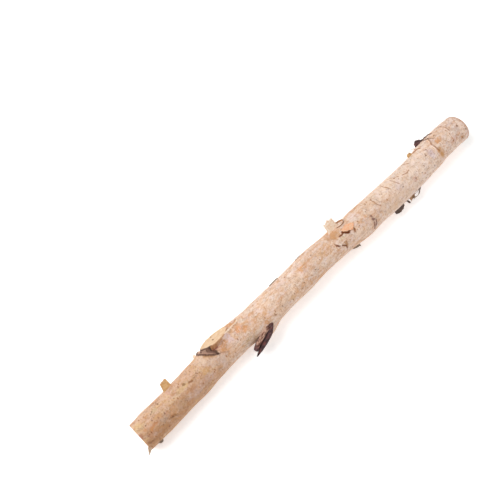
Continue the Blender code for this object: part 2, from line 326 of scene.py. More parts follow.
class Nodes:
    """The nodes of one tree."""

    def __init__(self, tree):
        self.tree = tree

    def add(self, kind, settings, *values, sockets=None, output=0):
        """Adds a node, sets it up, and feeds its sockets with numbers or with other terms."""
        node = self.tree.nodes.new(kind)
        for name, value in settings.items():
            setattr(node, name, value)
        for key, value in [*enumerate(values), *(sockets or {}).items()]:
            if isinstance(value, Term):
                self.tree.links.new(value.socket, node.inputs[key])
            elif value is not None:
                node.inputs[key].default_value = value
        return Term(self, node.outputs[output]) if node.outputs else node

    def vector(self, x, y, z):
        return self.add("ShaderNodeCombineXYZ", {}, x, y, z)

    def scale(self, vector, size):
        return self.add("ShaderNodeVectorMath", {"operation": "SCALE"}, vector, sockets={"Scale": size})

    def mix(self, share, below, above):
        """A colour between two colours, each a term or a printed colour."""
        below, above = [shade(one) if isinstance(one, str) else one for one in (below, above)]
        sockets = {0: share, 6: below, 7: above}
        return self.add("ShaderNodeMix", {"data_type": "RGBA"}, sockets=sockets, output=2)

    def noise(self, spot, scale, detail=2.0, roughness=0.5, output=0):
        sockets = {"Vector": spot, "Scale": scale, "Detail": detail, "Roughness": roughness}
        return self.add("ShaderNodeTexNoise", {}, sockets=sockets, output=output)


def new_growth(name, sizes):
    """An empty Geometry Nodes tree with a named input for each size, and its inputs as terms."""
    tree = bpy.data.node_groups.new(name, "GeometryNodeTree")
    tree.interface.new_socket("Geometry", in_out="INPUT", socket_type="NodeSocketGeometry")
    for label, value in sizes.items():
        kind = "NodeSocketInt" if isinstance(value, int) else "NodeSocketFloat"
        tree.interface.new_socket(label, in_out="INPUT", socket_type=kind)
    tree.interface.new_socket("Geometry", in_out="OUTPUT", socket_type="NodeSocketGeometry")
    nodes = Nodes(tree)
    entry = tree.nodes.new("NodeGroupInput")
    return nodes, {socket.name: Term(nodes, socket) for socket in entry.outputs if socket.name}


def end_growth(nodes, geometry, material):
    """Closes a growth tree: plain smooth geometry with its material."""
    plain = nodes.add("GeometryNodeRealizeInstances", {}, geometry)
    smooth = nodes.add("GeometryNodeSetShadeSmooth", {}, sockets={"Geometry": plain})
    finished = nodes.add("GeometryNodeSetMaterial", {}, sockets={"Geometry": smooth, "Material": material})
    nodes.add("NodeGroupOutput", {}, finished)


def grown(name, nodes, mesh, sizes):
    """Runs a finished tree on a mesh and keeps the result as a plain mesh."""
    obj = add_object(name, mesh)
    modifier = obj.modifiers.new(name, "NODES")
    modifier.node_group = nodes.tree
    for item in nodes.tree.interface.items_tree:
        if item.in_out == "INPUT" and item.name in sizes:
            modifier[item.identifier] = sizes[item.name]
    bpy.context.view_layer.update()
    graph = bpy.context.evaluated_depsgraph_get()
    result = bpy.data.meshes.new_from_object(obj.evaluated_get(graph))
    obj.modifiers.clear()
    obj.data = result
    result.name = name
    return obj


# %% [markdown]
# ## The bark laid flat
#
# Marks on bark are easiest to place on a map: millimetres along the log one way and millimetres round it
# the other, counted from the top line. A crack is then a short line on the map, and how far a point lies
# from that line decides how deep or how dark it is. These helpers work in both kinds of tree.

# %% Distances on the bark map
MM = 1000
MAP_RADIUS = 13.6


def map_spot(along, angle):
    """A place on the bark map, from its millimetres along and its angle."""
    from_top = (90 - angle + 180) % 360 - 180
    return (along, math.radians(from_top) * MAP_RADIUS, 0.0)


def line_distance(spot, places):
    """How far a spot of the map lies from a line through places, in millimetres."""
    nearest = None
    points = [Vector(map_spot(*place)) for place in places]
    for start, end in zip(points, points[1:]):
        run = end - start
        from_start = spot.minus(start)
        share = (from_start.dot(run) / run.length_squared).clamped()
        distance = from_start.minus(spot.nodes.scale(run, share)).size()
        nearest = distance if nearest is None else nearest.at_most(distance)
    return nearest


def oval_distance(spot, along, angle, reach_along, reach_round):
    """How far a spot lies from the middle of an oval: 1 on its edge."""
    return spot.minus(map_spot(along, angle)).times((1 / reach_along, 1 / reach_round, 0)).size()


def strayed(spot, reach, place, scale, detail, roughness=0.5):
    """That spot, moved aside by noise, so that what is drawn there looks grown."""
    stray = spot.nodes.noise(place, scale, detail, roughness, output=1).minus((0.5, 0.5, 0.5))
    return spot.plus(stray.times(reach))


# %% Names of the finishes
FINISHES = [
    "birch_bark", "dead_branch_bark", "peeling_bark_outside", "peeling_bark_inside", "smooth_peach_bark",
    "brown_bark_edges", "weathered_bark", "lenticel_cork", "splinter_bark", "tan_bark_flaps",
    "dark_bark_flakes",
]
finish = {name: bpy.data.materials.new(name) for name in FINISHES}
print("finishes:", len(finish))

# %% [markdown]
# ## The trunk
#
# The trunk could be a bent cylinder, but then its stubs and ridges would be separate lumps. Here one
# Geometry Nodes tree takes a cylinder with many rings and moves each point out to the bark: girth, slight
# ovalness, lumps, swellings, the stub of the sawn branch with its flat cut, ridges and fine grain. The
# rings stand closer together where there is more to see. The modifier's own mesh is the heart line, one
# point for each ring, which carries the girth and how far the worn rims lie inside it.

# %% Heart line with its rings
SIDES = 200
RINGS = 468
BUSY_STRETCHES = [(0.068, 0.140), (0.216, 0.270), (0.340, 0.368)]
BUSY_SHARE = 1.1
RIM_STEPS = [(0.0, 1.0), (0.10, 0.56), (0.45, 0.16), (1.0, 0.0)]


def ring_places():
    """Where the rings lie: closer together in the busy stretches, with a few round each worn rim."""
    fine = np.linspace(RIM, LENGTH - RIM, 4001)
    density = np.ones_like(fine)
    for start, end in BUSY_STRETCHES:
        density += BUSY_SHARE * ((fine > start) & (fine < end))
    amount = np.cumsum(density)
    inner = RINGS + 1 - 2 * (len(RIM_STEPS) - 1)
    body = np.interp(np.linspace(amount[0], amount[-1], inner), amount, fine)
    rim = np.array([RIM * step for step, _ in RIM_STEPS[:-1]])
    return np.concatenate([rim, body, LENGTH - rim[::-1]])


def rim_inset(along):
    """How far the worn rim lies inside the bark there."""
    steps, shares = np.array(RIM_STEPS).T
    from_end = min(along, LENGTH - along) / RIM
    return RIM * float(np.interp(from_end, steps, shares))


places_along = ring_places()
heart_line = bpy.data.meshes.new("heart_line")
heart_line.from_pydata([heart(along) for along in places_along], [], [])
for label, rule in (("girth", girth), ("inset", rim_inset)):
    layer = heart_line.attributes.new(label, "FLOAT", "POINT")
    layer.data.foreach_set("value", [rule(along) for along in places_along])
print("rings:", len(places_along), "closest, mm:", round(MM * float(np.diff(places_along[5:-5]).min()), 2))

# %% Features of the trunk
SAWN_ANGLE = 46
SAWN_LEAN = 30
SAWN_ROOT = 0.1172
SAWN_RADIUS = 0.0070
SAWN_FACE_ALONG = 0.100
SAWN_FACE_HEIGHT = 0.0150
SAWN_FACE_SLOPE = 2.0
SAWN_FACE_REACH = (0.070, 0.130)
SAWN_FACE_RUN_OUT = (0.099, 0.115)
SAWN_FACE_LIFT = 0.0034
SAWN_FACE_EDGE = 0.0012
SAWN_FACE_BARE = (-0.3, 0.1)
SAWN_SIDE = 0.2
CUT_SIDE = 0.3
BRANCH_BLEND = 0.0022
GRAZING = 0.05
FOOT_UPPER = [(77.0, 44), (78.4, 51), (80.6, 59), (82.9, 64), (85.2, 68)]
FOOT_LOWER = [(73.2, 36), (75.2, 54), (78.0, 70), (81.0, 83), (83.6, 92), (85.6, 97)]
FOOT_FAR = [(73.9, 32), (75.5, 16), (78.5, -2), (83.0, -16), (88.0, -28)]
FACE_LOWER = [(84.5, 69), (89.1, 72), (93.9, 73), (98.0, 69), (102.3, 62), (105.7, 56)]
FACE_HOLE = (90.4, 49)
FACE_LIP = [(99.8, 67), (105.6, 64), (110.0, 62), (113.1, 61), (115.8, 54)]
RING_SCAR = [(358.6, 24), (360.9, 36), (363.2, 50), (361.6, 62), (358.7, 80), (358.5, 96), (359.2, 116)]
RING_SCAR_TWO = [(363.2, 50), (365.0, 62), (366.4, 70)]
SMALL_SCAR = [(262.8, 142), (262.0, 153), (261.2, 168)]
SMALL_SCAR_TWO = [(265.4, 138), (264.8, 149), (263.8, 161)]
WRINKLES = [
    [(294.4, 40), (293.9, 60), (294.6, 74), (295.7, 89)], [(275.0, 66), (275.4, 97), (277.2, 110)],
    [(303.1, 58), (304.3, 80), (305.8, 95)], [(306.8, 62), (311.3, 70)],
    [(314.9, 78), (319.0, 84), (323.2, 81)], [(326.3, 36), (329.6, 57)],
    [(345.2, 30), (349.6, 39), (350.2, 49)], [(381.0, 40), (383.0, 70), (382.0, 95)],
]
Ridge = namedtuple("Ridge", "rise reach places")
RIDGES = [
    Ridge(0.7, 1.3, FOOT_UPPER), Ridge(0.8, 1.5, FOOT_LOWER), Ridge(1.0, 1.8, FOOT_FAR),
    Ridge(0.7, 1.2, FACE_LIP), Ridge(0.7, 1.6, RING_SCAR), Ridge(0.45, 1.2, RING_SCAR_TWO),
    Ridge(0.5, 1.2, SMALL_SCAR), Ridge(0.4, 1.1, SMALL_SCAR_TWO),
    *[Ridge(0.25, 1.1, places) for places in WRINKLES],
]
RIDGE_STRAY = (1.6, 1.6, 0)
RIDGE_STRAY_SCALE = 260.0
Relief = namedtuple("Relief", "scale stretch detail")
LUMPS = Relief(60.0, (1, 1, 1), 1.0)
GRAIN = Relief(900.0, (0.10, 1, 1), 3.0)
CREASES = Relief(700.0, (1.6, 0.5, 0.5), 2.0)
SAW_MARKS = Relief(500.0, (1, 0.15, 1), 2.0)
SAW_MARK_DEPTH = 0.00012
LUMP_SPREAD = 3
SMOOTH_WHERE_SAWN = 0.8
RELIEF_RADIUS = 0.0135
TRUNK_SIZES = {
    "Sides": SIDES, "Rings": RINGS, "Cap rings": 10, "Ovalness": 0.012, "Oval turn": 9.0,
    "Lump rise": 0.00035, "Grain rise": 0.00018, "Wrinkle rise": 0.00022,
}
print("swellings:", len(SWELLINGS), "ridges:", len(RIDGES))


# %% Tree that grows the trunk
def sawn_branch(nodes, point, way, facing):
    """Distance from the heart to the far side of the leaning branch, and to its saw cut."""
    lean = math.radians(SAWN_LEAN)
    slope = math.radians(SAWN_FACE_SLOPE)
    radial = outward(SAWN_ANGLE)
    axis = Vector((-math.cos(lean), 0, 0)) + radial * math.sin(lean)
    normal = radial * math.cos(slope) + Vector((math.sin(slope), 0, 0))
    cut_point = heart(SAWN_FACE_ALONG) + radial * SAWN_FACE_HEIGHT

    def across(vector):
        return vector.minus(nodes.scale(axis, vector.dot(axis)))

    ray = across(way)
    start = across(point.minus(heart(SAWN_ROOT)))
    a = ray.dot(ray).at_least(1e-6)
    b = ray.dot(start)
    reach = b * b - a * (start.dot(start) - SAWN_RADIUS**2)
    far = (reach.root() - b) / a
    near = (-reach.root() - b) / a
    cut = -(point.minus(cut_point).dot(normal)) / way.dot(normal).at_least(GRAZING)
    cut = cut + (point.part(0) - THIN_X).ease(*SAWN_FACE_RUN_OUT) * SAWN_FACE_LIFT
    there = reach.above(0.0) * facing.above(SAWN_SIDE) * (cut - near).ease(0.0, SAWN_FACE_EDGE)
    return far * there, cut


def trunk_tree():
    """Moves the points of a fine cylinder out to the bark."""
    nodes, given = new_growth("trunk_from_heart_line", TRUNK_SIZES)
    line = given["Geometry"]
    tube = nodes.add("GeometryNodeMeshCylinder", {"fill_type": "TRIANGLE_FAN"}, sockets={
        "Vertices": given["Sides"], "Side Segments": given["Rings"], "Fill Segments": given["Cap rings"],
        "Radius": 1.0, "Depth": 1.0,
    })
    start = nodes.add("GeometryNodeInputPosition", {})
    ring = ((start.part(2) + 0.5) * given["Rings"]).math("ROUND")
    share = (start.part(0) * start.part(0) + start.part(1) * start.part(1)).root()
    side_y = start.part(0) / share.at_least(0.001)
    side_z = start.part(1) / share.at_least(0.001)
    way = nodes.vector(0.0, side_y, side_z)

    def from_line(field, kind):
        settings = {"data_type": kind, "domain": "POINT"}
        return nodes.add("GeometryNodeSampleIndex", settings, sockets={
            "Geometry": line, "Value": field, "Index": ring,
        })

    def carried(label):
        field = nodes.add("GeometryNodeInputNamedAttribute", {"data_type": "FLOAT"}, label)
        return from_line(field, "FLOAT")

    point = from_line(nodes.add("GeometryNodeInputPosition", {}), "FLOAT_VECTOR")
    size = carried("girth")
    along = point.part(0) - THIN_X
    turn = side_z.math("ARCTAN2", side_y)
    spot = nodes.vector(along * MM, side_y.math("ARCTAN2", side_z) * MAP_RADIUS, 0.0)
    rough = point.plus(way.times((RELIEF_RADIUS, RELIEF_RADIUS, RELIEF_RADIUS)))

    def relief(one):
        return nodes.noise(rough.times(one.stretch), one.scale, one.detail) - 0.5

    oval = 1 + (turn * 2 + along * given["Oval turn"] / LENGTH).wave() * given["Ovalness"]
    radius = size * oval + relief(LUMPS) * given["Lump rise"] * LUMP_SPREAD
    for one in SWELLINGS:
        c, s = math.cos(math.radians(one.angle)), math.sin(math.radians(one.angle))
        off = (side_z * c - side_y * s).math("ARCTAN2", side_y * c + side_z * s)
        away = (along - one.along) / one.reach_along
        beside = off * size / one.reach_round
        radius = radius + (-(away * away + beside * beside)).exp() * one.rise

    loose = strayed(spot, RIDGE_STRAY, rough, RIDGE_STRAY_SCALE, 2.0)
    for one in RIDGES:
        near = line_distance(loose, one.places).fade(0.0, one.reach)
        radius = radius + near * (one.rise / MM)

    facing = way.dot(outward(SAWN_ANGLE))
    branch, cut = sawn_branch(nodes, point, way, facing)
    whole = nodes.add("ShaderNodeMath", {"operation": "SMOOTH_MAX"}, radius, branch, BRANCH_BLEND)
    first, last = SAWN_FACE_REACH
    inside = along.above(first) * (1 - along.above(last)) * facing.above(CUT_SIDE)
    cut = cut + (1 - inside)
    sawn = (whole - cut) * MM
    bare = sawn.ease(*SAWN_FACE_BARE)
    uneven = relief(GRAIN) * given["Grain rise"] + relief(CREASES) * given["Wrinkle rise"]
    radius = whole.at_most(cut) + uneven * (1 - bare * SMOOTH_WHERE_SAWN) - carried("inset")

    place = point.plus(nodes.scale(way, radius * share))
    on_cap = 1 - share.above(0.999)
    saw_marks = relief(SAW_MARKS) * on_cap * SAW_MARK_DEPTH
    toward_end = (ring / given["Rings"] - 0.5) * 2
    resting = nodes.vector(place.part(0) - toward_end * saw_marks.math("ABSOLUTE"), place.part(1),
                           place.part(2).at_least(0.0))
    noted = tube
    for label, kind, field in (
        ("outward", "FLOAT_VECTOR", nodes.vector(side_y, side_z, share)),
        ("sawn", "FLOAT", sawn),
    ):
        noted = nodes.add("GeometryNodeStoreNamedAttribute", {"data_type": kind, "domain": "POINT"},
                          sockets={"Geometry": noted, "Name": label, "Value": field})
    moved = nodes.add("GeometryNodeSetPosition", {}, sockets={"Geometry": noted, "Position": resting})
    end_growth(nodes, moved, finish["birch_bark"])
    return nodes


trunk = grown("birch_trunk", trunk_tree(), heart_line, TRUNK_SIZES)
trunk_points = np.array([vert.co for vert in trunk.data.vertices])
print("trunk faces:", len(trunk.data.polygons), "low and high, mm:",
      (MM * trunk_points.min(axis=0)).round(1), (MM * trunk_points.max(axis=0)).round(1))

# %% Places on the finished bark
surface = BVHTree.FromPolygons([vert.co for vert in trunk.data.vertices],
                               [polygon.vertices for polygon in trunk.data.polygons])
FAR_OUT = 0.04


def on_bark(along, angle, height=0.0):
    """A point over the bark at a place."""
    way = outward(angle)
    hit = surface.ray_cast(heart(along) + way * FAR_OUT, -way)[0]
    return (hit or heart(along) + way * girth(along)) + way * height


def piece_from(name, bm, *finishes):
    """A finished piece from a bmesh."""
    mesh = bpy.data.meshes.new(name)
    bm.to_mesh(mesh)
    bm.free()
    mesh.shade_smooth()
    for one in finishes:
        mesh.materials.append(finish[one])
    return add_object(name, mesh)


# %% [markdown]
# ## The broken branch stub
#
# Beside the sawn branch another one broke off. What is left is a dark tongue of dead bark that leans
# towards the thin end, with long fibres, a deep furrow and two ragged points. A cone with a cut would look
# turned on a lathe, so we loft it: strands run side by side along a bent middle line, each at its own
# distance from it, and each breaks off at its own length.

# %% Strands of the broken stub
STUB_LINE = [
    (0.1350, -0.0102, 0.0202), (0.1290, -0.0122, 0.0180), (0.1215, -0.0138, 0.0155),
    (0.1140, -0.0158, 0.0137), (0.1077, -0.0190, 0.0122),
]
STUB_RADII = [0.0008, 0.0041, 0.0044, 0.0036, 0.0007]
STUB_INNER_RADII = [0.0008, 0.0041, 0.0046, 0.0046, 0.0056]
STUB_INNER_ANGLE = 60
STUB_FURROW_ANGLE = 108
STUB_FURROW_WIDTH = 12
STUB_FURROW_DEPTH = 0.0014
STUB_BREAKS = [
    (0, 0.87), (40, 0.92), (72, 0.94), (92, 0.89), (106, 0.80), (122, 0.85), (145, 0.94), (172, 1.0),
    (210, 0.96), (250, 0.84), (285, 0.78), (325, 0.82), (360, 0.87),
]
STUB_SIDES = 120
STUB_RINGS = 90
STUB_ENDS = (0.03, 0.74)
FIBRE_DEPTH = 0.0007
FIBRE_LENGTH = 0.030
COARSE, TORN, FINE = 4.5, 7, 13


def rough_at(place):
    """Noise at a place, from about -1 to 1."""
    return noise.noise(Vector(place))


def rough_round(fineness, angle, run):
    """Noise that closes on itself round a tube."""
    turn = math.radians(angle)
    return rough_at((fineness * math.cos(turn), fineness * math.sin(turn), run))


def from_thin_end(place):
    """A point whose X is a distance from the thin end."""
    return Vector(place) + Vector((THIN_X, SHIFT_Y, 0))


def through(places, share):
    """The point at that share of a smooth line through places."""
    at = share * (len(places) - 1)
    i = min(int(at), len(places) - 2)
    t = at - i
    before, start, end, after = (Vector(places[clipped(i + k, 0, len(places) - 1)]) for k in (-1, 0, 1, 2))
    bend = (2 * before - 5 * start + 4 * end - after) * t * t + (3 * start - before - 3 * end + after) * t**3
    return (2 * start + (end - before) * t + bend) / 2


def strand_radius(run, angle):
    """How far a strand of the stub lies from its middle line."""
    stations = np.linspace(0, 1, len(STUB_RADII))
    outer = float(np.interp(run, stations, STUB_RADII))
    inner = float(np.interp(run, stations, STUB_INNER_RADII))
    toward_inner = max(0.0, math.cos(math.radians(angle - STUB_INNER_ANGLE))) ** 2
    furrow = math.exp(-((angle - STUB_FURROW_ANGLE) / STUB_FURROW_WIDTH) ** 2)
    fibres = rough_round(COARSE, angle, 0.8 * run) + 0.7 * rough_round(FINE, angle, 2.4 * run)
    rough = FIBRE_DEPTH * fibres
    return outer + (inner - outer) * toward_inner - STUB_FURROW_DEPTH * furrow * min(1.0, 4 * run) + rough


def broken_stub():
    """A bundle of dead strands with a furrow and a ragged end."""
    bm = bmesh.new()
    fibre_layer = bm.verts.layers.float_vector.new("strand")
    break_angles, break_shares = np.array(STUB_BREAKS).T
    rings = []
    for i in range(STUB_RINGS + 1):
        ring = []
        for j in range(STUB_SIDES):
            angle = 360 * j / STUB_SIDES
            torn = rough_round(TORN, angle, 9.0)
            length = float(np.interp(angle, break_angles, break_shares)) + FIBRE_LENGTH * torn
            run = min(length * i / STUB_RINGS, 1.0)
            spot = from_thin_end(through(STUB_LINE, run)) + outward(angle) * strand_radius(run, angle)
            vert = bm.verts.new(kept_inside(spot, 0.0))
            vert[fibre_layer] = (run, angle / 360, 0)
            ring.append(vert)
        rings.append(ring)
    for one, other in zip(rings, rings[1:]):
        for j in range(STUB_SIDES):
            k = (j + 1) % STUB_SIDES
            bm.faces.new((one[j], one[k], other[k], other[j]))
    for ring, run in zip((rings[0], rings[-1]), STUB_ENDS):
        centre = bm.verts.new(from_thin_end(through(STUB_LINE, run)))
        centre[fibre_layer] = (run, 0.25, 0)
        for j in range(STUB_SIDES):
            bm.faces.new((ring[j], ring[(j + 1) % STUB_SIDES], centre))
    bmesh.ops.recalc_face_normals(bm, faces=bm.faces)
    return piece_from("broken_branch_stub", bm, "dead_branch_bark")


stub = broken_stub()
print("broken stub faces:", len(stub.data.polygons))

# %% [markdown]
# ## The bud knob
#
# Near the butt end a bud never grew out, and left a dark wrinkled knob. We take a ball, squash it to the
# size of the solid's knob and let noise wrinkle it.

# %% Wrinkled knob
BUD_ALONG = 0.3580
BUD_ANGLE = 15
BUD_RADII = (0.0045, 0.0036, 0.0041)
BUD_STAND = 0.0150
BUD_WRINKLE = 0.20


def bud_knob():
    """A small ball of old bud scales."""
    bm = bmesh.new()
    bmesh.ops.create_icosphere(bm, subdivisions=5, radius=1)
    radial = outward(BUD_ANGLE)
    axes = Matrix((Vector((1, 0, 0)), radial.cross(Vector((1, 0, 0))), radial)).transposed()
    for vert in bm.verts:
        wrinkle = rough_at(vert.co * 2.4) + 0.6 * rough_at(vert.co * 6.0)
        vert.co *= 1 - BUD_WRINKLE * 0.5 + BUD_WRINKLE * wrinkle
    bmesh.ops.transform(bm, matrix=axes.to_4x4() @ Matrix.Diagonal((*BUD_RADII, 1)), verts=bm.verts)
    bmesh.ops.translate(bm, vec=heart(BUD_ALONG) + radial * BUD_STAND, verts=bm.verts)
    bmesh.ops.recalc_face_normals(bm, faces=bm.faces)
    return piece_from("bud_knob", bm, "dead_branch_bark")


knob = bud_knob()
print("knob faces:", len(knob.data.polygons))

# %% [markdown]
# ## Curls of peeling bark
#
# Birch sheds its skin in papery curls: cream outside, orange-tan inside, with torn edges. Each starts in
# the bark and rolls away from it. We bend a small grid: the further from its root, the more steeply it
# rises, so its height is a sum of sines. Noise tears the edges, and Solidify gives the paper its
# thickness, with the inner colour on its other side.

# %% Roll the curls
Curl = namedtuple("Curl", "along angle length width heading rise roll skin")
CURLS = [
    Curl(379.0, -42, 7.0, 6.5, 20, 12, 40, "cream"), Curl(192.0, 244, 8.0, 7.5, 190, 8, 20, "cream"),
    Curl(48.0, -42, 8.5, 7.0, -60, 14, 60, "golden"), Curl(288.0, -48, 8.0, 8.5, 20, 14, 110, "cream"),
    Curl(364.0, 214, 6.5, 6.0, 100, 12, 60, "cream"), Curl(140.0, -38, 7.0, 6.0, 150, 10, 60, "golden"),
]
PAPER = "peeling_bark_outside"
INSIDE = "peeling_bark_inside"
PEACH = "smooth_peach_bark"
SKINS = {
    "cream": (PAPER, INSIDE), "golden": (INSIDE, INSIDE), "peach": (PEACH, PAPER), "shed": (PAPER, PEACH),
    **{skin: (name, name) for skin, name in (("brown", "brown_bark_edges"), ("grey", "weathered_bark"),
                                             ("umber", "dark_bark_flakes"), ("tan", "tan_bark_flaps"))},
}
PAPER_THICKNESS = 0.00022
PAPER_STEPS = 22
PAPER_ACROSS = 14
PAPER_SUNK = 0.0005
PAPER_BUCKLE = 0.0006
PAPER_NARROWS = 0.20
EDGE_WAVES = 0.35
END_LEAST = 0.86
END_TORN = 0.28
END_FRAYED = 0.12


def roll_profile(one):
    """How far forward and how high the paper has come after each step from its root."""
    step = one.length / MM / PAPER_STEPS
    forward, height = [0.0], [-PAPER_SUNK]
    for i in range(PAPER_STEPS):
        share = (i + 0.5) / PAPER_STEPS
        steepness = math.radians(one.rise * min(1.0, 4 * share) + one.roll * share**1.5)
        forward.append(forward[-1] + step * math.cos(steepness))
        height.append(height[-1] + step * math.sin(steepness))
    return forward, height


def thickened(piece):
    """Gives a sheet of bark its thickness, with its inner finish on the other side."""
    shell = piece.modifiers.new("thickness", "SOLIDIFY")
    shell.thickness = PAPER_THICKNESS
    shell.offset = -1
    shell.material_offset = 1
    return piece


def curl(number, one):
    """A scrap of paper bark that rolls away from the trunk."""
    bm = bmesh.new()
    bmesh.ops.create_grid(bm, x_segments=PAPER_STEPS, y_segments=PAPER_ACROSS, size=0.5)
    forwards, heights = roll_profile(one)
    heading = math.radians(one.heading)
    for vert in bm.verts:
        run = vert.co.x + 0.5
        tear = rough_at((4.5 * vert.co.y, number, 0.3))
        fray = rough_at((19 * vert.co.y, number, 0.7))
        edge = rough_at((3.5 * run, number + 0.5, math.copysign(1.0, vert.co.y)))
        beside = vert.co.y * one.width / MM * (1.0 - PAPER_NARROWS * run**3 + EDGE_WAVES * edge)
        at = clipped(run * (END_LEAST + END_TORN * tear + END_FRAYED * fray), 0.0, 1.0) * PAPER_STEPS
        forward = float(np.interp(at, range(PAPER_STEPS + 1), forwards))
        height = float(np.interp(at, range(PAPER_STEPS + 1), heights))
        height += PAPER_BUCKLE * run * rough_at((6 * vert.co.y, 5 * run, number))
        along = one.along / MM + forward * math.cos(heading) - beside * math.sin(heading)
        round_it = forward * math.sin(heading) + beside * math.cos(heading)
        angle = one.angle + math.degrees(round_it / girth(one.along / MM))
        vert.co = kept_inside(on_bark(clipped(along, 0.0, LENGTH), angle, height))
    bmesh.ops.reverse_faces(bm, faces=bm.faces)
    return thickened(piece_from(f"bark_curl_{number:02d}", bm, *SKINS[one.skin]))


curls = [curl(number, one) for number, one in enumerate(CURLS)]
print("curls:", len(curls))

# %% [markdown]
# ## Torn scraps
#
# Other scraps don't roll. They lie flat with one edge lifted, stand on edge like a paper ribbon, or bridge
# the bark like a handle. All of these are one sheet between two edges: the near edge, mostly sunk in the
# bark, and the far edge. Each edge is a smooth line through a few places, with a height in millimetres
# over the bark. Noise tears the far edge.

# %% Stretch the scraps between their edges
Scrap = namedtuple("Scrap", "skin ragged near far")
SCRAPS = [
    Scrap("shed", 0.10, [(224.6, 58, -0.3), (231.0, 54, -0.3), (238.0, 48, -0.3)],
          [(226.8, 38, 7.4), (231.8, 37, 8.6), (237.3, 38, 8.3)]),
    Scrap("tan", 0.05, [(238.4, 22, -0.2), (241.6, 31, 0.0), (243.8, 46, 0.0), (240.9, 58, 0.0),
                        (237.0, 60, 0.0), (234.1, 55, -0.2)],
          [(238.2, 22, 1.2), (241.5, 31, 1.6), (244.0, 46, 1.5), (241.0, 60, 1.5),
           (237.0, 62, 1.3), (233.9, 57, 0.8)]),
    Scrap("peach", 0.10, [(234.0, 74, -0.2), (238.6, 64, -0.2), (242.3, 60, -0.2), (246.9, 77, -0.2)],
          [(234.3, 90, 0.9), (237.4, 97, 1.0), (241.4, 104, 1.0), (246.0, 94, 0.8)]),
    Scrap("tan", 0.15, [(227.9, 113, -0.1), (231.6, 116, -0.1)], [(228.6, 138, 0.7), (230.2, 137, 0.8)]),
    Scrap("grey", 0.25, [(234.0, 185, -0.3), (238.5, 187, -0.3), (243.4, 192, -0.3)],
          [(235.2, 191, 0.7), (239.2, 195, 1.6), (243.8, 199, 2.1)]),
    Scrap("umber", 0.12, [(288.8, 184, -0.4), (294.0, 184, -0.4), (301.5, 182, -0.4)],
          [(289.4, 194, 2.3), (295.2, 197, 3.8), (301.4, 191, 1.7)]),
    Scrap("umber", 0.20, [(304.2, 184, -0.3), (306.4, 184, -0.3)], [(307.0, 195, 3.4), (309.0, 194, 3.1)]),
    Scrap("tan", 0.35, [(308.6, 182, -0.3), (313.0, 182, -0.3), (316.4, 182, -0.3)],
          [(310.2, 194, 2.9), (312.4, 194, 2.5), (315.6, 193, 3.2)]),
    Scrap("grey", 0.08, [(312.6, 186, 1.6), (315.6, 186, 2.9), (319.6, 186, 3.5), (323.6, 186, 1.8),
                         (327.6, 186, -0.3)],
          [(312.6, 198, 1.7), (315.6, 198, 3.1), (319.6, 198, 3.7), (323.6, 198, 2.0), (327.6, 198, -0.3)]),
    Scrap("brown", 0.08, [(316.0, 190, -0.2), (319.0, 190, 0.9), (323.0, 190, 0.7), (325.5, 190, -0.2)],
          [(316.0, 200, -0.1), (319.0, 200, 1.1), (323.0, 200, 0.9), (325.5, 200, -0.1)]),
    Scrap("golden", 0.16, [(34.6, 40, -0.3), (39.0, 38, -0.3), (43.4, 36, -0.3)],
          [(37.0, 27, 6.0), (39.8, 26, 6.6), (43.4, 25, 6.2)]),
    Scrap("cream", 0.30, [(69.5, 30, -0.3), (72.5, 28, -0.3)], [(70.5, 20, 1.8), (73.0, 19, 2.2)]),
    Scrap("grey", 0.20, [(156.0, 32, -0.2), (161.0, 31, -0.2), (167.0, 30, -0.2)],
          [(156.6, 22, 0.6), (161.5, 20, 0.9), (167.0, 22, 0.5)]),
    # This dark flake on the top edge is painted shadow: a dark sheet that stands for a cast shadow there.
    Scrap("umber", 0.20, [(188.0, 32, -0.2), (195.0, 31, -0.2)], [(188.4, 24, 0.4), (194.6, 25, 0.3)]),
    Scrap("umber", 0.20, [(359.0, 27, -0.2), (366.0, 26, -0.2), (373.5, 24, -0.2)],
          [(359.4, 17, 1.3), (366.0, 17, 0.9), (372.8, 17, 0.5)]),
    Scrap("golden", 0.20, [(337.4, 34, -0.3), (340.2, 34, -0.3), (344.0, 34, -0.3)],
          [(338.4, 23, 1.4), (340.8, 21, 2.7), (343.6, 22, 1.9)]),
    Scrap("cream", 0.06, [(341.4, 23, 2.5), (344.6, 21, 3.0), (348.0, 23, 2.0), (350.4, 27, -0.3)],
          [(341.4, 28, 2.6), (344.6, 26, 3.2), (348.0, 28, 2.3), (350.4, 32, -0.3)]),
    Scrap("grey", 0.20, [(6.0, 176, -0.3), (9.0, 176, -0.3), (11.8, 176, -0.3)],
          [(7.6, 186, 0.7), (9.2, 188, 1.7), (11.4, 187, 1.2)]),
    Scrap("cream", 0.25, [(168.0, -30, -0.3), (177.0, -28, -0.3)], [(169.5, -44, 2.0), (176.0, -46, 2.4)]),
    Scrap("shed", 0.20, [(84.0, 226, -0.3), (92.0, 222, -0.3)], [(85.0, 240, 1.2), (91.5, 238, 1.4)]),
    Scrap("grey", 0.25, [(330.0, -50, -0.3), (338.0, -48, -0.3)], [(331.0, -62, 1.8), (337.0, -64, 2.2)]),
]
SCRAP_STEPS = 12
SCRAP_ACROSS = 12
SCRAP_LIFT = 1.5
SCRAP_BUCKLE = 0.4
SIDE_TORN = 0.25


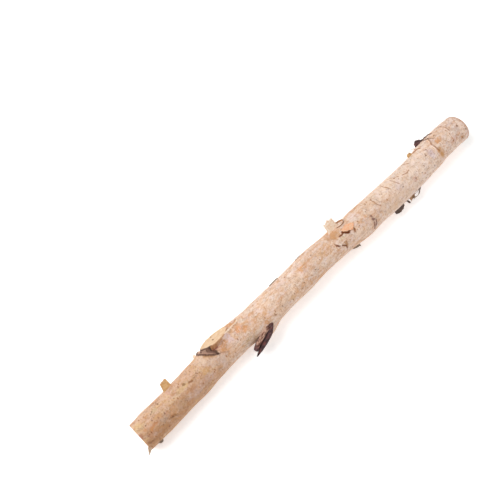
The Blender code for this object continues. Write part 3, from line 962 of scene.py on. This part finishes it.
def scrap(number, one):
    """A torn scrap of bark stretched between two edges."""
    bm = bmesh.new()
    bmesh.ops.create_grid(bm, x_segments=SCRAP_STEPS * (len(one.near) - 1), y_segments=SCRAP_ACROSS, size=0.5)
    for vert in bm.verts:
        run, reach = vert.co.x + 0.5, vert.co.y + 0.5
        tear = rough_at((6 * run, number, 0.2)) + 0.6 * rough_at((21 * run, number, 0.6))
        side = rough_at((5 * reach, number, math.copysign(3.0, vert.co.x)))
        run = clipped(run + SIDE_TORN * one.ragged * side * reach, 0.0, 1.0)
        reach *= 1 + one.ragged * tear
        near, far = through(one.near, run), through(one.far, run)
        along, angle, _ = near.lerp(far, reach)
        height = near.z + (far.z - near.z) * reach**SCRAP_LIFT
        height += SCRAP_BUCKLE * one.ragged * reach * rough_at((5 * run, 4 * reach, number))
        vert.co = kept_inside(on_bark(along / MM, angle, height / MM))
    bm.normal_update()
    middle = heart((one.near[0][0] + one.far[-1][0]) / 2 / MM)
    facing = sum(face.normal.dot(face.calc_center_median() - middle) for face in bm.faces)
    if facing < 0:
        bmesh.ops.reverse_faces(bm, faces=bm.faces)
    return thickened(piece_from(f"bark_scrap_{number:02d}", bm, *SKINS[one.skin]))


scraps = [scrap(number, one) for number, one in enumerate(SCRAPS)]
print("scraps:", len(scraps))

# %% [markdown]
# ## The splinter
#
# At the thin end the saw left one splinter standing, a thin wedge of wood and bark that points away from
# the cut. A cone pulled flat gives it: wide and sunk where it leaves the bark, and thin at its point.

# %% Pull out the splinter
SPLINTER_ROOT = (0.0012, 164)
SPLINTER_TIP_ALONG = -0.0034
SPLINTER_TIP = (-0.0140, 0.0098)
SPLINTER_WIDE = 0.0025
SPLINTER_THICK = 0.0010
SPLINTER_SUNK = -0.0010
SPLINTER_ROUGH = 0.35
SPLINTER_POINT = 0.16


def splinter():
    """A flat wedge from the bark to a point beyond the cut."""
    root = on_bark(*SPLINTER_ROOT, SPLINTER_SUNK)
    tip = Vector((THIN_X + SPLINTER_TIP_ALONG, SHIFT_Y + SPLINTER_TIP[0], SPLINTER_TIP[1]))
    bm = bmesh.new()
    bmesh.ops.create_cone(bm, cap_ends=True, segments=24, radius1=1.0, radius2=SPLINTER_POINT, depth=1.0)
    lengthwise = [edge for edge in bm.edges if abs(edge.verts[0].co.z - edge.verts[1].co.z) > 0.5]
    bmesh.ops.subdivide_edges(bm, edges=lengthwise, cuts=14, use_grid_fill=True)
    run = tip - root
    wide = run.cross(outward(SPLINTER_ROOT[1])).normalized()
    thick = wide.cross(run).normalized()
    for vert in bm.verts:
        share = vert.co.z + 0.5
        rough = 1 + SPLINTER_ROUGH * rough_at((2 * vert.co.x, 2 * vert.co.y, 5 * share))
        vert.co = kept_inside(root + run * share + wide * vert.co.x * SPLINTER_WIDE * rough
                              + thick * vert.co.y * SPLINTER_THICK * rough, 0.0)
    bmesh.ops.recalc_face_normals(bm, faces=bm.faces)
    return piece_from("thin_end_splinter", bm, "splinter_bark")


thorn = splinter()
print("splinter faces:", len(thorn.data.polygons))

# %% [markdown]
# ## Bark colours
#
# Young birch bark is never one colour. Under it all lies a cream that turns pink or lilac in patches.
# Orange streaks run along the log, fine wrinkles and dots across it, and the wound edges are dark, partly
# with painted shade under the sawn face and painted shadow in the cracks under lifted flaps. Near the thin
# end the side turned from the key light is painted darker as shade, and one pale fold carries a painted
# highlight. Each of these is one mask that mixes one colour in. The masks read the place on the log, so
# they follow the bark map of the relief, and need no picture.

# %% Helpers for finishes
GLOSS = 0.12


def finish_nodes(material):
    """The empty node tree of a finish."""
    material.use_nodes = True
    material.node_tree.nodes.clear()
    return Nodes(material.node_tree)


def close_finish(nodes, colour, roughness, height, depth, glow=0.0):
    """Colour, roughness and a bump of that depth go to the shader."""
    normal = nodes.add("ShaderNodeBump", {}, sockets={"Strength": 1.0, "Distance": depth, "Height": height})
    shader = nodes.add("ShaderNodeBsdfPrincipled", {}, sockets={
        "Base Color": colour, "Roughness": roughness, "Normal": normal, "Specular IOR Level": GLOSS,
        "Emission Color": (1, 1, 1, 1), "Emission Strength": glow,
    })
    nodes.add("ShaderNodeOutputMaterial", {}, shader)


def place_in_mm(nodes):
    """The place on the log, in millimetres."""
    return nodes.add("ShaderNodeTexCoord", {}, output=3).times((MM, MM, MM))


def freckles(nodes, place, gap, share, size):
    """Small dots, one in a share of the cells of a loose lattice: 1 in the middle of a dot."""
    cells = nodes.add("ShaderNodeTexVoronoi", {}, sockets={"Vector": place, "Scale": 1 / gap})
    chance = Term(nodes, cells.socket.node.outputs["Color"]).part(0)
    reach = (chance - (1 - share)) * (size / gap / share)
    return (cells / reach.at_least(0.001)).fade(0.5, 1.1)


# %% Layers of the bark
Layer = namedtuple("Layer", "colour strength stretch scale low high")
DEEP_LAYERS = [
    Layer("DDB89C", 1.00, (0.5, 1, 1), 0.10, 0.38, 0.60),
    Layer("EDD6C6", 0.65, (0.7, 1, 1), 0.16, 0.50, 0.62),
    Layer("D2A078", 0.75, (0.35, 1, 1), 0.20, 0.52, 0.64),
    Layer("CB9068", 0.60, (0.10, 1, 1), 0.55, 0.52, 0.66),
]
FINE_LAYERS = [
    Layer("B98562", 0.50, (1.0, 0.5, 0.5), 0.75, 0.53, 0.64),
    Layer("A9744F", 0.45, (1.0, 1.0, 1.0), 1.5, 0.56, 0.66),
    Layer("CB9664", 0.40, (0.8, 1.0, 1.0), 0.32, 0.52, 0.63),
]
OLD_LAYERS = [
    Layer("B27A4E", 0.55, (0.30, 1, 1), 0.33, 0.52, 0.64),
    Layer("DDBB88", 0.50, (0.55, 1, 1), 0.26, 0.46, 0.36),
    Layer("DDB09C", 0.45, (0.8, 1, 1), 0.40, 0.56, 0.66),
    Layer("D9B8A2", 0.40, (0.9, 0.8, 0.8), 0.60, 0.48, 0.36),
    Layer("91623C", 0.50, (0.9, 0.8, 0.8), 0.90, 0.54, 0.64),
]
BUTT_LAYERS = [
    Layer("C6844F", 0.60, (0.8, 1, 1), 0.34, 0.53, 0.64),
    Layer("E9D3CC", 0.50, (1, 1, 1), 0.28, 0.47, 0.37),
    Layer("9C6440", 0.50, (1, 1, 1), 0.80, 0.55, 0.64),
]
PALE_LAYERS = [
    Layer("F0DCDA", 0.40, (0.8, 1.0, 1.0), 0.26, 0.50, 0.38),
    Layer("F3DCCA", 0.50, (1.0, 0.6, 0.6), 0.85, 0.47, 0.36),
    Layer("F3DFCE", 0.36, (0.6, 1.0, 1.0), 1.7, 0.44, 0.34),
]
LAYER_SHIFT = 37.0
DEEP_SEED, FINE_SEED, PALE_SEED, OLD_SEED, BUTT_SEED = 0, 4, 7, 10, 20
print("layers:", sum(map(len, (DEEP_LAYERS, FINE_LAYERS, OLD_LAYERS, BUTT_LAYERS, PALE_LAYERS))))

# %% Patches of the bark
Patch = namedtuple("Patch", "colour strength along angle reach_along reach_round")
PATCHES = [Patch(*row) for row in (
    ("D9B98A", 0.60, 4, 75, 4.5, 5), ("BC7C48", 0.85, 13.5, 110, 6.5, 2.0),
    ("C58A5A", 0.60, 7, 98, 2.2, 2.0), ("A0664F", 0.65, 1.0, 104, 1.8, 3),
    ("A9784E", 0.60, 12, 141, 14, 6), ("B59A86", 0.60, 22.3, 119, 4, 3), ("D6B294", 0.45, 34, 57, 5, 5),
    ("B08A6A", 0.50, 40, 121, 10, 5), ("A87048", 0.60, 28.3, 130, 3.2, 1.2),
    ("DDBE98", 0.55, 39, 92, 11, 1.8), ("C8AAA0", 0.50, 53, 131, 11, 5), ("C2A49A", 0.50, 68, 128, 6, 4),
    ("C99B5E", 0.60, 69.2, 105, 4, 3), ("DCC2AC", 0.60, 71, 68, 5, 6), ("D6BCAA", 0.60, 77, 100, 5, 5),
    ("C6AFA3", 0.60, 85, 118, 5, 5), ("BA8560", 0.90, 91.5, 87, 6.5, 7.5), ("CB9A72", 0.60, 93, 104, 4, 4),
    ("DAA57A", 0.60, 112, 76, 13, 9), ("DAC4C6", 0.75, 100.2, 83, 3.0, 5.0),
    ("DE9A68", 0.80, 110, 84, 5.0, 4.0), ("B8845C", 0.55, 30, 148, 26, 3),
    ("C08A5C", 0.50, 20, 95, 5, 2.5), ("C4AE86", 0.50, 20, 70, 4, 3), ("D2A6A0", 0.45, 37, 62, 2, 5),
    ("C9A878", 0.55, 48, 84, 9, 2.2), ("B4805A", 0.50, 52, 112, 7, 3), ("BC9078", 0.50, 8, 126, 4, 4),
    ("DD9C68", 0.70, 114, 99, 4, 3), ("CC9468", 0.90, 109.5, 50, 7.0, 3.4),
    # F8E6D4 at 116.4 mm and 67 degrees is a pale bark fold, partly brightened by a painted highlight.
    ("A8744C", 0.70, 114.6, 47, 1.6, 1.4), ("F8E6D4", 0.85, 116.4, 67, 1.8, 3.4),
    ("BC9A72", 0.75, 112.8, 152, 8, 5.5), ("DCC8B8", 0.65, 120, 140, 3, 2.6),
    ("D0966A", 0.75, 131, 134, 3, 4), ("D9A06E", 0.55, 134.5, 118, 3, 6),
    ("E0A474", 0.75, 183.6, 90, 4.5, 4.5), ("CFA573", 0.50, 160.5, 139, 4, 3),
    ("D6A878", 0.45, 205, 100, 6, 2.5), ("F4E8DE", 0.50, 172.6, 64, 3, 2),
    ("C99264", 0.95, 225.0, 68, 6.8, 7.5), ("F8E8D8", 0.90, 239.2, 47, 2.4, 2.6),
    ("E6D2CA", 0.70, 250.5, 68, 5.5, 6), ("DDBFAE", 0.50, 235, 122, 8, 6),
    ("CDBB98", 0.50, 229.5, 103, 4, 2.0), ("E2A778", 0.60, 258, 101, 4, 2.5),
    ("D2BEBC", 0.50, 303, 98, 5, 6), ("CFA684", 0.55, 286, 117, 8, 3.5), ("D9B28E", 0.45, 295, 148, 22, 7),
    ("F3D8C0", 0.60, 300, 64, 40, 9), ("C08468", 0.55, 321.9, 124, 3, 3), ("DDB37C", 0.50, 343, 38, 6, 3),
    ("D4BEC2", 0.75, 351.6, 103, 3.5, 6), ("D99A66", 0.85, 366.4, 89, 6.4, 2.8),
    ("C08850", 0.95, 360.2, 124, 3.6, 6.0), ("D2C2BE", 0.55, 388, 103, 5, 5),
    ("C0845E", 0.70, 381, 130, 9, 3.5), ("B58052", 0.65, 389, 148, 5, 4), ("E3B896", 0.50, 372, 62, 18, 7),
    ("C99A6E", 0.50, 60, -20, 12, 6), ("D8C6BE", 0.60, 130, -40, 16, 8), ("C58F62", 0.50, 210, -25, 9, 7),
    ("CDB9AE", 0.60, 265, -55, 15, 8), ("D6A67A", 0.50, 330, -30, 12, 7),
    ("BFA58F", 0.50, 180, 220, 14, 7), ("D8C6BE", 0.50, 330, 222, 14, 7), ("C9946A", 0.50, 90, 225, 9, 6),
)]
print("patches:", len(PATCHES))

# %% Marks and dots of the bark
Mark = namedtuple("Mark", "colour strength reach places")
MARKS = [Mark(*row) for row in (
    ("C99868", 0.50, 3.4, [(360.8, 116), (361.4, 128), (360.8, 138)]),
    ("D0A076", 0.45, 4.2, [(222.4, 60), (226.0, 66), (228.0, 76)]),
    ("86603C", 0.75, 1.15, [(49.4, 80), (50.2, 81)]), ("8A5A38", 0.75, 1.05, [(54.0, 88), (56.0, 93)]),
    ("96683F", 0.55, 0.90, [(24.6, 129), (27.6, 132), (30.8, 136)]),
    ("8A5C3A", 0.55, 1.10, [(2.4, 139), (5.3, 147)]), ("B07C48", 0.50, 0.80, [(30.6, 96), (35.2, 100)]),
    ("AE8A7A", 0.85, 2.3, [(75.4, 40), (78.2, 57), (81.1, 68), (83.0, 78)]),
    ("B58E6C", 0.60, 0.9, [(76.4, 65), (78.6, 78), (80.1, 85)]),
    ("A87A50", 0.60, 1.3, [(76.0, 64), (78.6, 77), (80.8, 86)]), ("4E342A", 0.92, 0.95, FOOT_UPPER),
    ("5A4038", 0.88, 0.75, FOOT_LOWER), ("4A342C", 0.90, 1.30, [(83.6, 69), (85.2, 79), (85.2, 92)]),
    ("6A4C3E", 0.70, 1.0, [(80.8, 64), (82.4, 73), (84.0, 84)]), ("5A4A40", 0.85, 0.90, FOOT_FAR),
    ("A9826A", 0.65, 0.6, [(86.4, 98), (90.5, 109), (93.3, 118)]),
    # The brown line along FACE_LOWER is painted shade under the lower edge of the sawn face.
    ("7A3E32", 0.85, 1.1, [(85.0, 71), (88.4, 75)]), ("B58258", 0.75, 0.65, FACE_LOWER),
    ("F4DCC4", 0.90, 0.50, FACE_LIP),
    # The dark crack lines from here to the second 94603E line are painted shadow under the lifted flaps of
    # bark.
    ("7E4A2C", 0.95, 0.95, [(229.1, 93), (231.8, 94), (233.7, 86), (235.1, 95), (237.3, 104), (239.6, 100)]),
    ("6E3C22", 0.95, 1.25, [(233.9, 89), (235.4, 97), (237.4, 104)]),
    ("A06A48", 0.85, 0.55, [(220.6, 102), (220.8, 108)]),
    ("7E4628", 0.95, 0.90, [(221.1, 113), (222.0, 118), (222.7, 121)]),
    ("744024", 0.95, 0.90, [(225.4, 126), (227.0, 132), (228.6, 139)]),
    ("8E5A3A", 0.85, 0.80, [(228.2, 137), (228.5, 150)]),
    ("94603E", 0.88, 0.75, [(243.3, 94), (243.5, 108)]),
    ("94603E", 0.85, 1.20, [(243.4, 108), (242.7, 116)]),
    ("BC9884", 0.40, 2.0, [(263.0, 124), (262.8, 135), (262.6, 156)]), ("865C50", 0.80, 0.85, SMALL_SCAR),
    ("865C50", 0.80, 0.75, SMALL_SCAR_TWO), ("7E5650", 0.80, 0.95, [(263.2, 113), (263.4, 118)]),
    ("7E5650", 0.80, 1.25, [(262.9, 127), (263.9, 131)]), ("9C6A4A", 0.80, 0.60, RING_SCAR),
    ("8A6048", 0.70, 0.55, RING_SCAR_TWO), ("5E3E34", 0.90, 1.05, [(358.6, 22), (361.1, 37), (363.2, 50)]),
    ("6E4A3C", 0.80, 0.90, [(360.5, 27), (366.0, 26), (373.0, 25)]),
    ("94684A", 0.80, 1.20, [(370.4, 34), (371.8, 40)]),
    ("A86A3C", 0.80, 0.65, [(344.2, 33), (349.6, 39), (350.6, 50)]),
    *[("A8714A", 0.70, 0.55, places) for places in WRINKLES],
    ("8A5F48", 0.60, 0.60, [(152.0, -20), (153.2, -45), (151.0, -70)]),
    ("6B4A44", 0.70, 0.90, [(246.0, -8), (247.2, -30), (246.4, -42)]),
    ("8A6040", 0.60, 0.70, [(318.0, -35), (317.0, -60), (319.0, -80)]),
    ("6B4A44", 0.70, 0.90, [(196.0, 224), (197.0, 245)]),
)]
DOTS = {
    0.7: [(60.2, 63), (45.1, 73), (33.0, 84), (149.9, 133), (177.1, 126), (200.6, 110), (273.0, 125)],
    0.8: [(62.4, 84), (8.4, 88), (18.7, 67), (16.9, 72), (14.4, 90), (19.2, 99), (21.2, 150),
          (43.4, 130), (91.3, 32), (172.9, 138), (194.2, 132), (198.4, 74), (306.4, 113), (351.3, 75),
          (331.5, 126)],
    0.9: [(5.1, 119), (3.2, 146), (37.5, 89), (141.0, 140), (164.5, 131), (347.0, 145), (390.2, 151)],
    1.0: [(24.7, 104), (192.0, 124), (378.8, 132), (397.0, 131), (369.3, 59)],
    1.1: [(25.7, 60), (27.9, 132), (322.4, 123)],
    1.2: [(346.2, 90)],
    1.4: [(391.8, 98)],
    1.6: [(371.0, 34)],
}
print("marks:", len(MARKS), "dots:", sum(map(len, DOTS.values())))

# %% Helpers that lay the colours on
EDGE = (0.45, 1.15)
LINE_EDGE = (0.45, 1.35)
DOT_COLOUR = "7E5640"
DOT_STRENGTH = 0.75
DOT_NARROW = 0.85


def layered(nodes, colour, place, layers, seed, amount=1.0):
    """Mixes in one colour after the other where its own noise is high."""
    for number, one in enumerate(layers, seed):
        shift = (LAYER_SHIFT * number, LAYER_SHIFT, -LAYER_SHIFT * number)
        grain = nodes.noise(place.times(one.stretch).plus(shift), one.scale, 4.0, 0.65)
        colour = nodes.mix(grain.ease(one.low, one.high) * one.strength * amount, colour, one.colour)
    return colour


def patched(nodes, colour, spot):
    """Mixes in the patches, each soft at its edge."""
    for one in PATCHES:
        off = oval_distance(spot, one.along, one.angle, one.reach_along, one.reach_round)
        colour = nodes.mix(off.fade(*EDGE) * one.strength, colour, one.colour)
    return colour


def marked(nodes, colour, spot):
    """Mixes in the drawn lines and the dots."""
    for one in MARKS:
        near = line_distance(spot, one.places).fade(*(one.reach * share for share in LINE_EDGE))
        colour = nodes.mix(near * one.strength, colour, one.colour)
    nearest = None
    for size, places in DOTS.items():
        for along, angle in places:
            off = oval_distance(spot, along, angle, size * DOT_NARROW, size)
            nearest = off if nearest is None else nearest.at_most(off)
    return nodes.mix(nearest.fade(*EDGE) * DOT_STRENGTH, colour, DOT_COLOUR)


# %% [markdown]
# ## The finish of the trunk
#
# The trunk shows three things: bark, the bare wood where the branch was sawn off, and the end grain of
# its two cuts. They could be three materials, but then each border would follow the faces. Here one
# finish holds all three. The relief left two attributes on the mesh, the way out from the heart and the
# height over the saw cut, and they say where the bark ends, to a fraction of a millimetre.

# %% Bark finish
OLDER_BARK = (60.0, 125.0)
# The next two ranges place painted shade on the side turned from the key light, near the thin end.
SHADED_THIN_END = (38.0, 110.0)
SHADED_SIDE = (-0.15, 0.45)
PALE_STRETCH = (255.0, 300.0)
BUTT_STRETCH = (335.0, 372.0)
BUTT_RIM = (396.0, 399.5)
FACE_END = (106.0, 111.0)
FACE_EDGE_END = (101, 109)
END_RADIUS = 13.5
YEAR_WIDTH = 1.5
YEAR_STRAY = 1.6


def ground_colour(nodes, place, along, lamp_shaded_side):
    """What lies under the patches: a cream that is browner towards the thin end and paler further on, with
    painted shade near the thin end on the side turned from the key light.
    """
    older = along.ease(*OLDER_BARK)
    colour = layered(nodes, shade("ECCEB6"), place, DEEP_LAYERS, DEEP_SEED)
    colour = nodes.mix((1 - older) * 0.72, colour, "CCA68A")
    # Painted shade: near the thin end, the side turned from the key light is darkened.
    colour = nodes.mix(along.fade(*SHADED_THIN_END) * lamp_shaded_side * 0.72, colour, "BA8C66")
    colour = nodes.mix(along.ease(*PALE_STRETCH) * 0.60, colour, "F8E2D2")
    return layered(nodes, colour, place, OLD_LAYERS, OLD_SEED, 1 - older)


def skin_colour(nodes, colour, place, along, peel, small):
    """What lies over the patches: fine layers, peeling skin and freckles."""
    older = along.ease(*OLDER_BARK)
    colour = layered(nodes, colour, place, FINE_LAYERS, FINE_SEED)
    colour = layered(nodes, colour, place, BUTT_LAYERS, BUTT_SEED, along.ease(*BUTT_STRETCH))
    colour = layered(nodes, colour, place, PALE_LAYERS, PALE_SEED, older * 0.78 + 0.22)
    colour = nodes.mix(peel.ease(0.565, 0.580) * (older * 0.30 + 0.10), colour, "F3E0D0")
    colour = nodes.mix(peel.band((0.548, 0.560), (0.564, 0.576)) * 0.40, colour, "A9795A")
    large = freckles(nodes, place.times((1.3, 1, 1)), 4.4, 0.35, 1.0)
    colour = nodes.mix(small * 0.45, colour, "9C6A4A")
    colour = nodes.mix(large * 0.65, colour, "8A5C42")
    return nodes.mix(along.ease(*BUTT_RIM) * 0.5, colour, "B07A5C")


def wood_colour(nodes, place, spot, grain):
    """The pale sawn face with its grain, its pores and its hole."""
    wood = nodes.mix(grain.ease(0.38, 0.62), "E6CAAA", "D4AE88")
    pores = freckles(nodes, place.times((0.5, 1, 1)), 1.6, 0.4, 0.5)
    wood = nodes.mix(pores * 0.45, wood, "B98258")
    hole = oval_distance(spot, *FACE_HOLE, 0.9, 0.9).fade(0.5, 1.2)
    return nodes.mix(hole * 0.85, wood, "6E4630")


def end_grain(nodes, place, share):
    """Year rings, pith and a brown inner bark on the sawn ends."""
    stray = nodes.noise(place.times((0, 1, 1)), 0.25, 2.0) * YEAR_STRAY
    rings = ((share * END_RADIUS + stray) * math.tau / YEAR_WIDTH).wave() * 0.5 + 0.5
    colour = nodes.mix(rings.ease(0.3, 0.95) * 0.55, "EBD3A9", "C99F6C")
    colour = nodes.mix(share.fade(0.05, 0.09) * 0.8, colour, "8A5E3A")
    return nodes.mix(share.ease(0.90, 0.94) * 0.8, colour, "A8764C")


def bark_finish():
    """Bark, bare wood and end grain in one finish."""
    nodes = finish_nodes(finish["birch_bark"])
    place = place_in_mm(nodes)
    around = nodes.add("ShaderNodeAttribute", {"attribute_name": "outward"}, output=1)
    sawn = nodes.add("ShaderNodeAttribute", {"attribute_name": "sawn"}, output=2)
    side_y, side_z, share = around.part(0), around.part(1), around.part(2)
    along = place.part(0) - THIN_X * MM
    spot = nodes.vector(along, side_y.math("ARCTAN2", side_z) * MAP_RADIUS, 0.0)
    loose = strayed(spot, (9, 7, 0), place, 0.32, 3.0, 0.6)
    tight = strayed(spot, (1.8, 1.8, 0), place, 0.9, 2.0)

    peel = nodes.noise(place.times((0.7, 1, 1)), 0.28, 5.0, 0.7)
    small = freckles(nodes, place.times((1.4, 1, 1)), 2.0, 0.45, 0.55)
    colour = ground_colour(nodes, place, along, (-side_y).ease(*SHADED_SIDE))
    colour = patched(nodes, colour, loose)
    colour = skin_colour(nodes, colour, place, along, peel, small)

    grain = nodes.noise(place.times((0.12, 1, 1)), 2.2, 3.0, 0.6)
    # Partly painted shade: a brown rim band under the edge of the sawn face, standing in part for the shadow
    # of its overhang.
    face_rim_and_shade = sawn.ease(-0.9, -0.1) * along.fade(*FACE_EDGE_END) * 0.18
    bare = sawn.ease(-0.05, 0.35) * along.fade(*FACE_END)
    colour = nodes.mix(face_rim_and_shade, colour, "B58660")
    colour = nodes.mix(bare, colour, wood_colour(nodes, place, tight, grain))
    colour = marked(nodes, colour, tight)
    colour = nodes.mix(share.fade(0.985, 0.998), colour, end_grain(nodes, place, share))

    wrinkle = nodes.noise(place.times((1.0, 0.35, 0.35)), 0.75, 4.0, 0.7)
    fibre = nodes.noise(place.times((0.15, 1, 1)), 1.2, 3.0, 0.6)
    height = (wrinkle * 0.5 + fibre * 0.3 + peel.ease(0.55, 0.575) * 0.25 - small * 0.1) * (1 - bare)
    close_finish(nodes, colour, 0.62 + wrinkle * 0.2, height + grain * 0.3 * bare, 0.0006)


bark_finish()
print("bark nodes:", len(finish["birch_bark"].node_tree.nodes))

# %% [markdown]
# ## The finishes of the small pieces
#
# The broken stub is dead, fibrous bark, nearly black in its furrow, with a lighter band inside where it
# tore. Its mesh carries two numbers for each strand, how far along it a point lies and on which side, and
# the masks read those. Curls, flakes, cork and the splinter are thin and plain by comparison. They all
# share one recipe, two colours in a mottle with fine spots of a third, and differ only in those colours.

# %% Dead bark, sheets and cork
SHEETS = {
    "peeling_bark_outside": ("F2DDC9", "E6C2A2", "C8966A"),
    "peeling_bark_inside": ("D3AA78", "BE9060", "946036"),
    "smooth_peach_bark": ("EBC2A0", "ECA880", "CE8A58"),
    "brown_bark_edges": ("A87850", "8A5A3A", "6B4028"),
    "weathered_bark": ("A08C78", "7E6A58", "5A4638"),
    "lenticel_cork": ("B07A52", "9A6844", "6E4630"),
    "tan_bark_flaps": ("BE9474", "A67C5A", "86583C"),
    "dark_bark_flakes": ("6E5A50", "4C3B36", "8E7868"),
    "splinter_bark": ("CFB59C", "B89A80", "8A6C54"),
}


def dead_bark_finish():
    """Dark fibrous bark with a torn inner band, a furrow and a worn tip."""
    nodes = finish_nodes(finish["dead_branch_bark"])
    place = place_in_mm(nodes)
    strand = nodes.add("ShaderNodeAttribute", {"attribute_name": "strand"}, output=1)
    run, turn = strand.part(0), strand.part(1) * 360
    fibres = nodes.noise(place.times((0.30, 1.0, 1.0)), 0.85, 4.0, 0.7)
    lumps = nodes.noise(place.times((0.7, 1.0, 1.0)), 0.42, 3.0, 0.6)
    colour = nodes.mix(fibres.ease(0.40, 0.60), "4E3735", "7A5C5C")
    colour = nodes.mix(lumps.ease(0.50, 0.60) * 0.7, colour, "84504A")
    colour = nodes.mix(lumps.fade(0.38, 0.48) * 0.6, colour, "34282A")
    inner = turn.band((30.0, 48.0), (86.0, 97.0)) * run.band((0.10, 0.35), (0.70, 0.86))
    torn = nodes.mix(fibres.ease(0.42, 0.58), "6A4234", "D2AA94")
    colour = nodes.mix(inner * 0.90, colour, torn)
    furrow = turn.band((95.0, 102.0), (114.0, 124.0)) * run.ease(0.30, 0.50)
    colour = nodes.mix(furrow * 0.75, colour, "2A1C19")
    colour = nodes.mix(run.ease(0.93, 1.0) * 0.5, colour, "9A8072")
    close_finish(nodes, colour, 0.75, fibres, 0.0012)


def sheet_finish(material, light, dark, spots):
    """Papery bark: a mottle of two colours with fine spots."""
    nodes = finish_nodes(material)
    place = place_in_mm(nodes)
    mottle = nodes.noise(place, 0.6, 3.0, 0.6)
    fine = nodes.noise(place.times((1, 0.4, 0.4)), 2.4, 2.0, 0.6)
    colour = nodes.mix(mottle.ease(0.38, 0.62), light, dark)
    colour = nodes.mix(fine.ease(0.56, 0.74) * 0.5, colour, spots)
    close_finish(nodes, colour, 0.6, fine, 0.0002)


dead_bark_finish()
for name, colours in SHEETS.items():
    sheet_finish(finish[name], *colours)
print("sheet finishes:", len(SHEETS))

# %% [markdown]
# ## Lenticels
#
# The bark breathes through lenticels, small cork dots that lie across the log. They could be painted, but
# as real grains they catch the light. Geometry Nodes scatter them over the trunk: random points, more of
# them where a noise is high, each with a flat grain turned across the log.

# %% Scatter the grains
GRAIN_CLEAR = 0.0006
END_CLEAR = 0.0008
SAWN_CLEAR = -1.0
CROWD_SCALE = 55.0
GRAIN_SIZE_RANGE = {"Min": 0.45, "Max": 1.25}
GRAIN_HEIGHT_SHARE = 0.30
GRAIN_SIZES = {"Per square metre": 26000.0, "Grain length": 0.00075, "Grain width": 0.00035, "Seed": 7}


def grain_tree():
    """Small flat grains of cork on the bark."""
    nodes, given = new_growth("lenticels_on_bark", GRAIN_SIZES)
    outside = nodes.add("GeometryNodeInputNamedAttribute", {"data_type": "FLOAT_VECTOR"}, "outward")
    sawn = nodes.add("GeometryNodeInputNamedAttribute", {"data_type": "FLOAT"}, "sawn")
    spot = nodes.add("GeometryNodeInputPosition", {})
    crowd = nodes.noise(spot, CROWD_SCALE, 2.0).ease(0.35, 0.70)
    off_ends = 1 - spot.part(0).math("ABSOLUTE").above(LENGTH / 2 - END_CLEAR)
    clear = spot.part(2).above(GRAIN_CLEAR) * off_ends
    on_side = outside.part(2).above(0.999)
    density = crowd * on_side * (1 - sawn.above(SAWN_CLEAR)) * clear * given["Per square metre"]
    scatter = nodes.add("GeometryNodeDistributePointsOnFaces", {"distribute_method": "RANDOM"}, sockets={
        "Mesh": given["Geometry"], "Density": density, "Seed": given["Seed"],
    })
    normal = Term(nodes, scatter.socket.node.outputs["Normal"])
    turn = nodes.add("FunctionNodeAxesToRotation", {"primary_axis": "Z", "secondary_axis": "X"},
                     normal, (1.0, 0.0, 0.0))
    ball = nodes.add("GeometryNodeMeshUVSphere", {}, sockets={"Segments": 8, "Rings": 4, "Radius": 1.0})
    size = nodes.add("FunctionNodeRandomValue", {"data_type": "FLOAT"}, sockets={
        **GRAIN_SIZE_RANGE, "Seed": given["Seed"],
    }, output=1)
    flat = nodes.vector(given["Grain width"] * size, given["Grain length"] * size * size,
                        given["Grain width"] * size * GRAIN_HEIGHT_SHARE)
    grains = nodes.add("GeometryNodeInstanceOnPoints", {}, sockets={
        "Points": scatter, "Instance": ball, "Rotation": turn, "Scale": flat,
    })
    end_growth(nodes, grains, finish["lenticel_cork"])
    return nodes


lenticels = grown("lenticels", grain_tree(), trunk.data.copy(), GRAIN_SIZES)
print("lenticel faces:", len(lenticels.data.polygons))

# %% [markdown]
# ## Floor and bodies
#
# The floor is one large pale sheet. It glows a little, so that it stays nearly white under the soft light,
# and it is marked as stage, because it is no part of the log. The log is one grown thing, so all its
# pieces ride on the one body and stand for the one solid.

# %% Lay the floor
FLOOR_HALF = 3.0
FLOOR_GLOW = 0.32
FLOOR_CORNERS = [(x * FLOOR_HALF, y * FLOOR_HALF, 0) for x, y in ((-1, -1), (1, -1), (1, 1), (-1, 1))]
floor_mesh = bpy.data.meshes.new("floor")
floor_mesh.from_pydata(FLOOR_CORNERS, [], [(0, 1, 2, 3)])
floor = add_object("floor", floor_mesh)
pale_floor = bpy.data.materials.new("pale_floor")
floor_nodes = finish_nodes(pale_floor)
floor_grain = floor_nodes.noise(place_in_mm(floor_nodes), 0.5)
close_finish(floor_nodes, shade("FFFFFF"), 0.9, floor_grain, 0.00002, glow=FLOOR_GLOW)
floor_mesh.materials.append(pale_floor)
floor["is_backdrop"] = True
print("floor, m:", 2 * FLOOR_HALF)

# %% Hand the pieces over
pieces = {"bark": [trunk, lenticels, thorn, *curls, *scraps], "dark_bark": [stub, knob]}
for slot, members in pieces.items():
    for member in members:
        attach(member, "root")
        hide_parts("log")
print("pieces:", sum(len(members) for members in pieces.values()))

# %% Finish
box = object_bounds()
print("visual, mm:", [round(MM * side, 1) for side in box[1] - box[0]])
corners = {"solid": [list(corner) for corner in solid_box], "visual": [list(corner) for corner in box]}
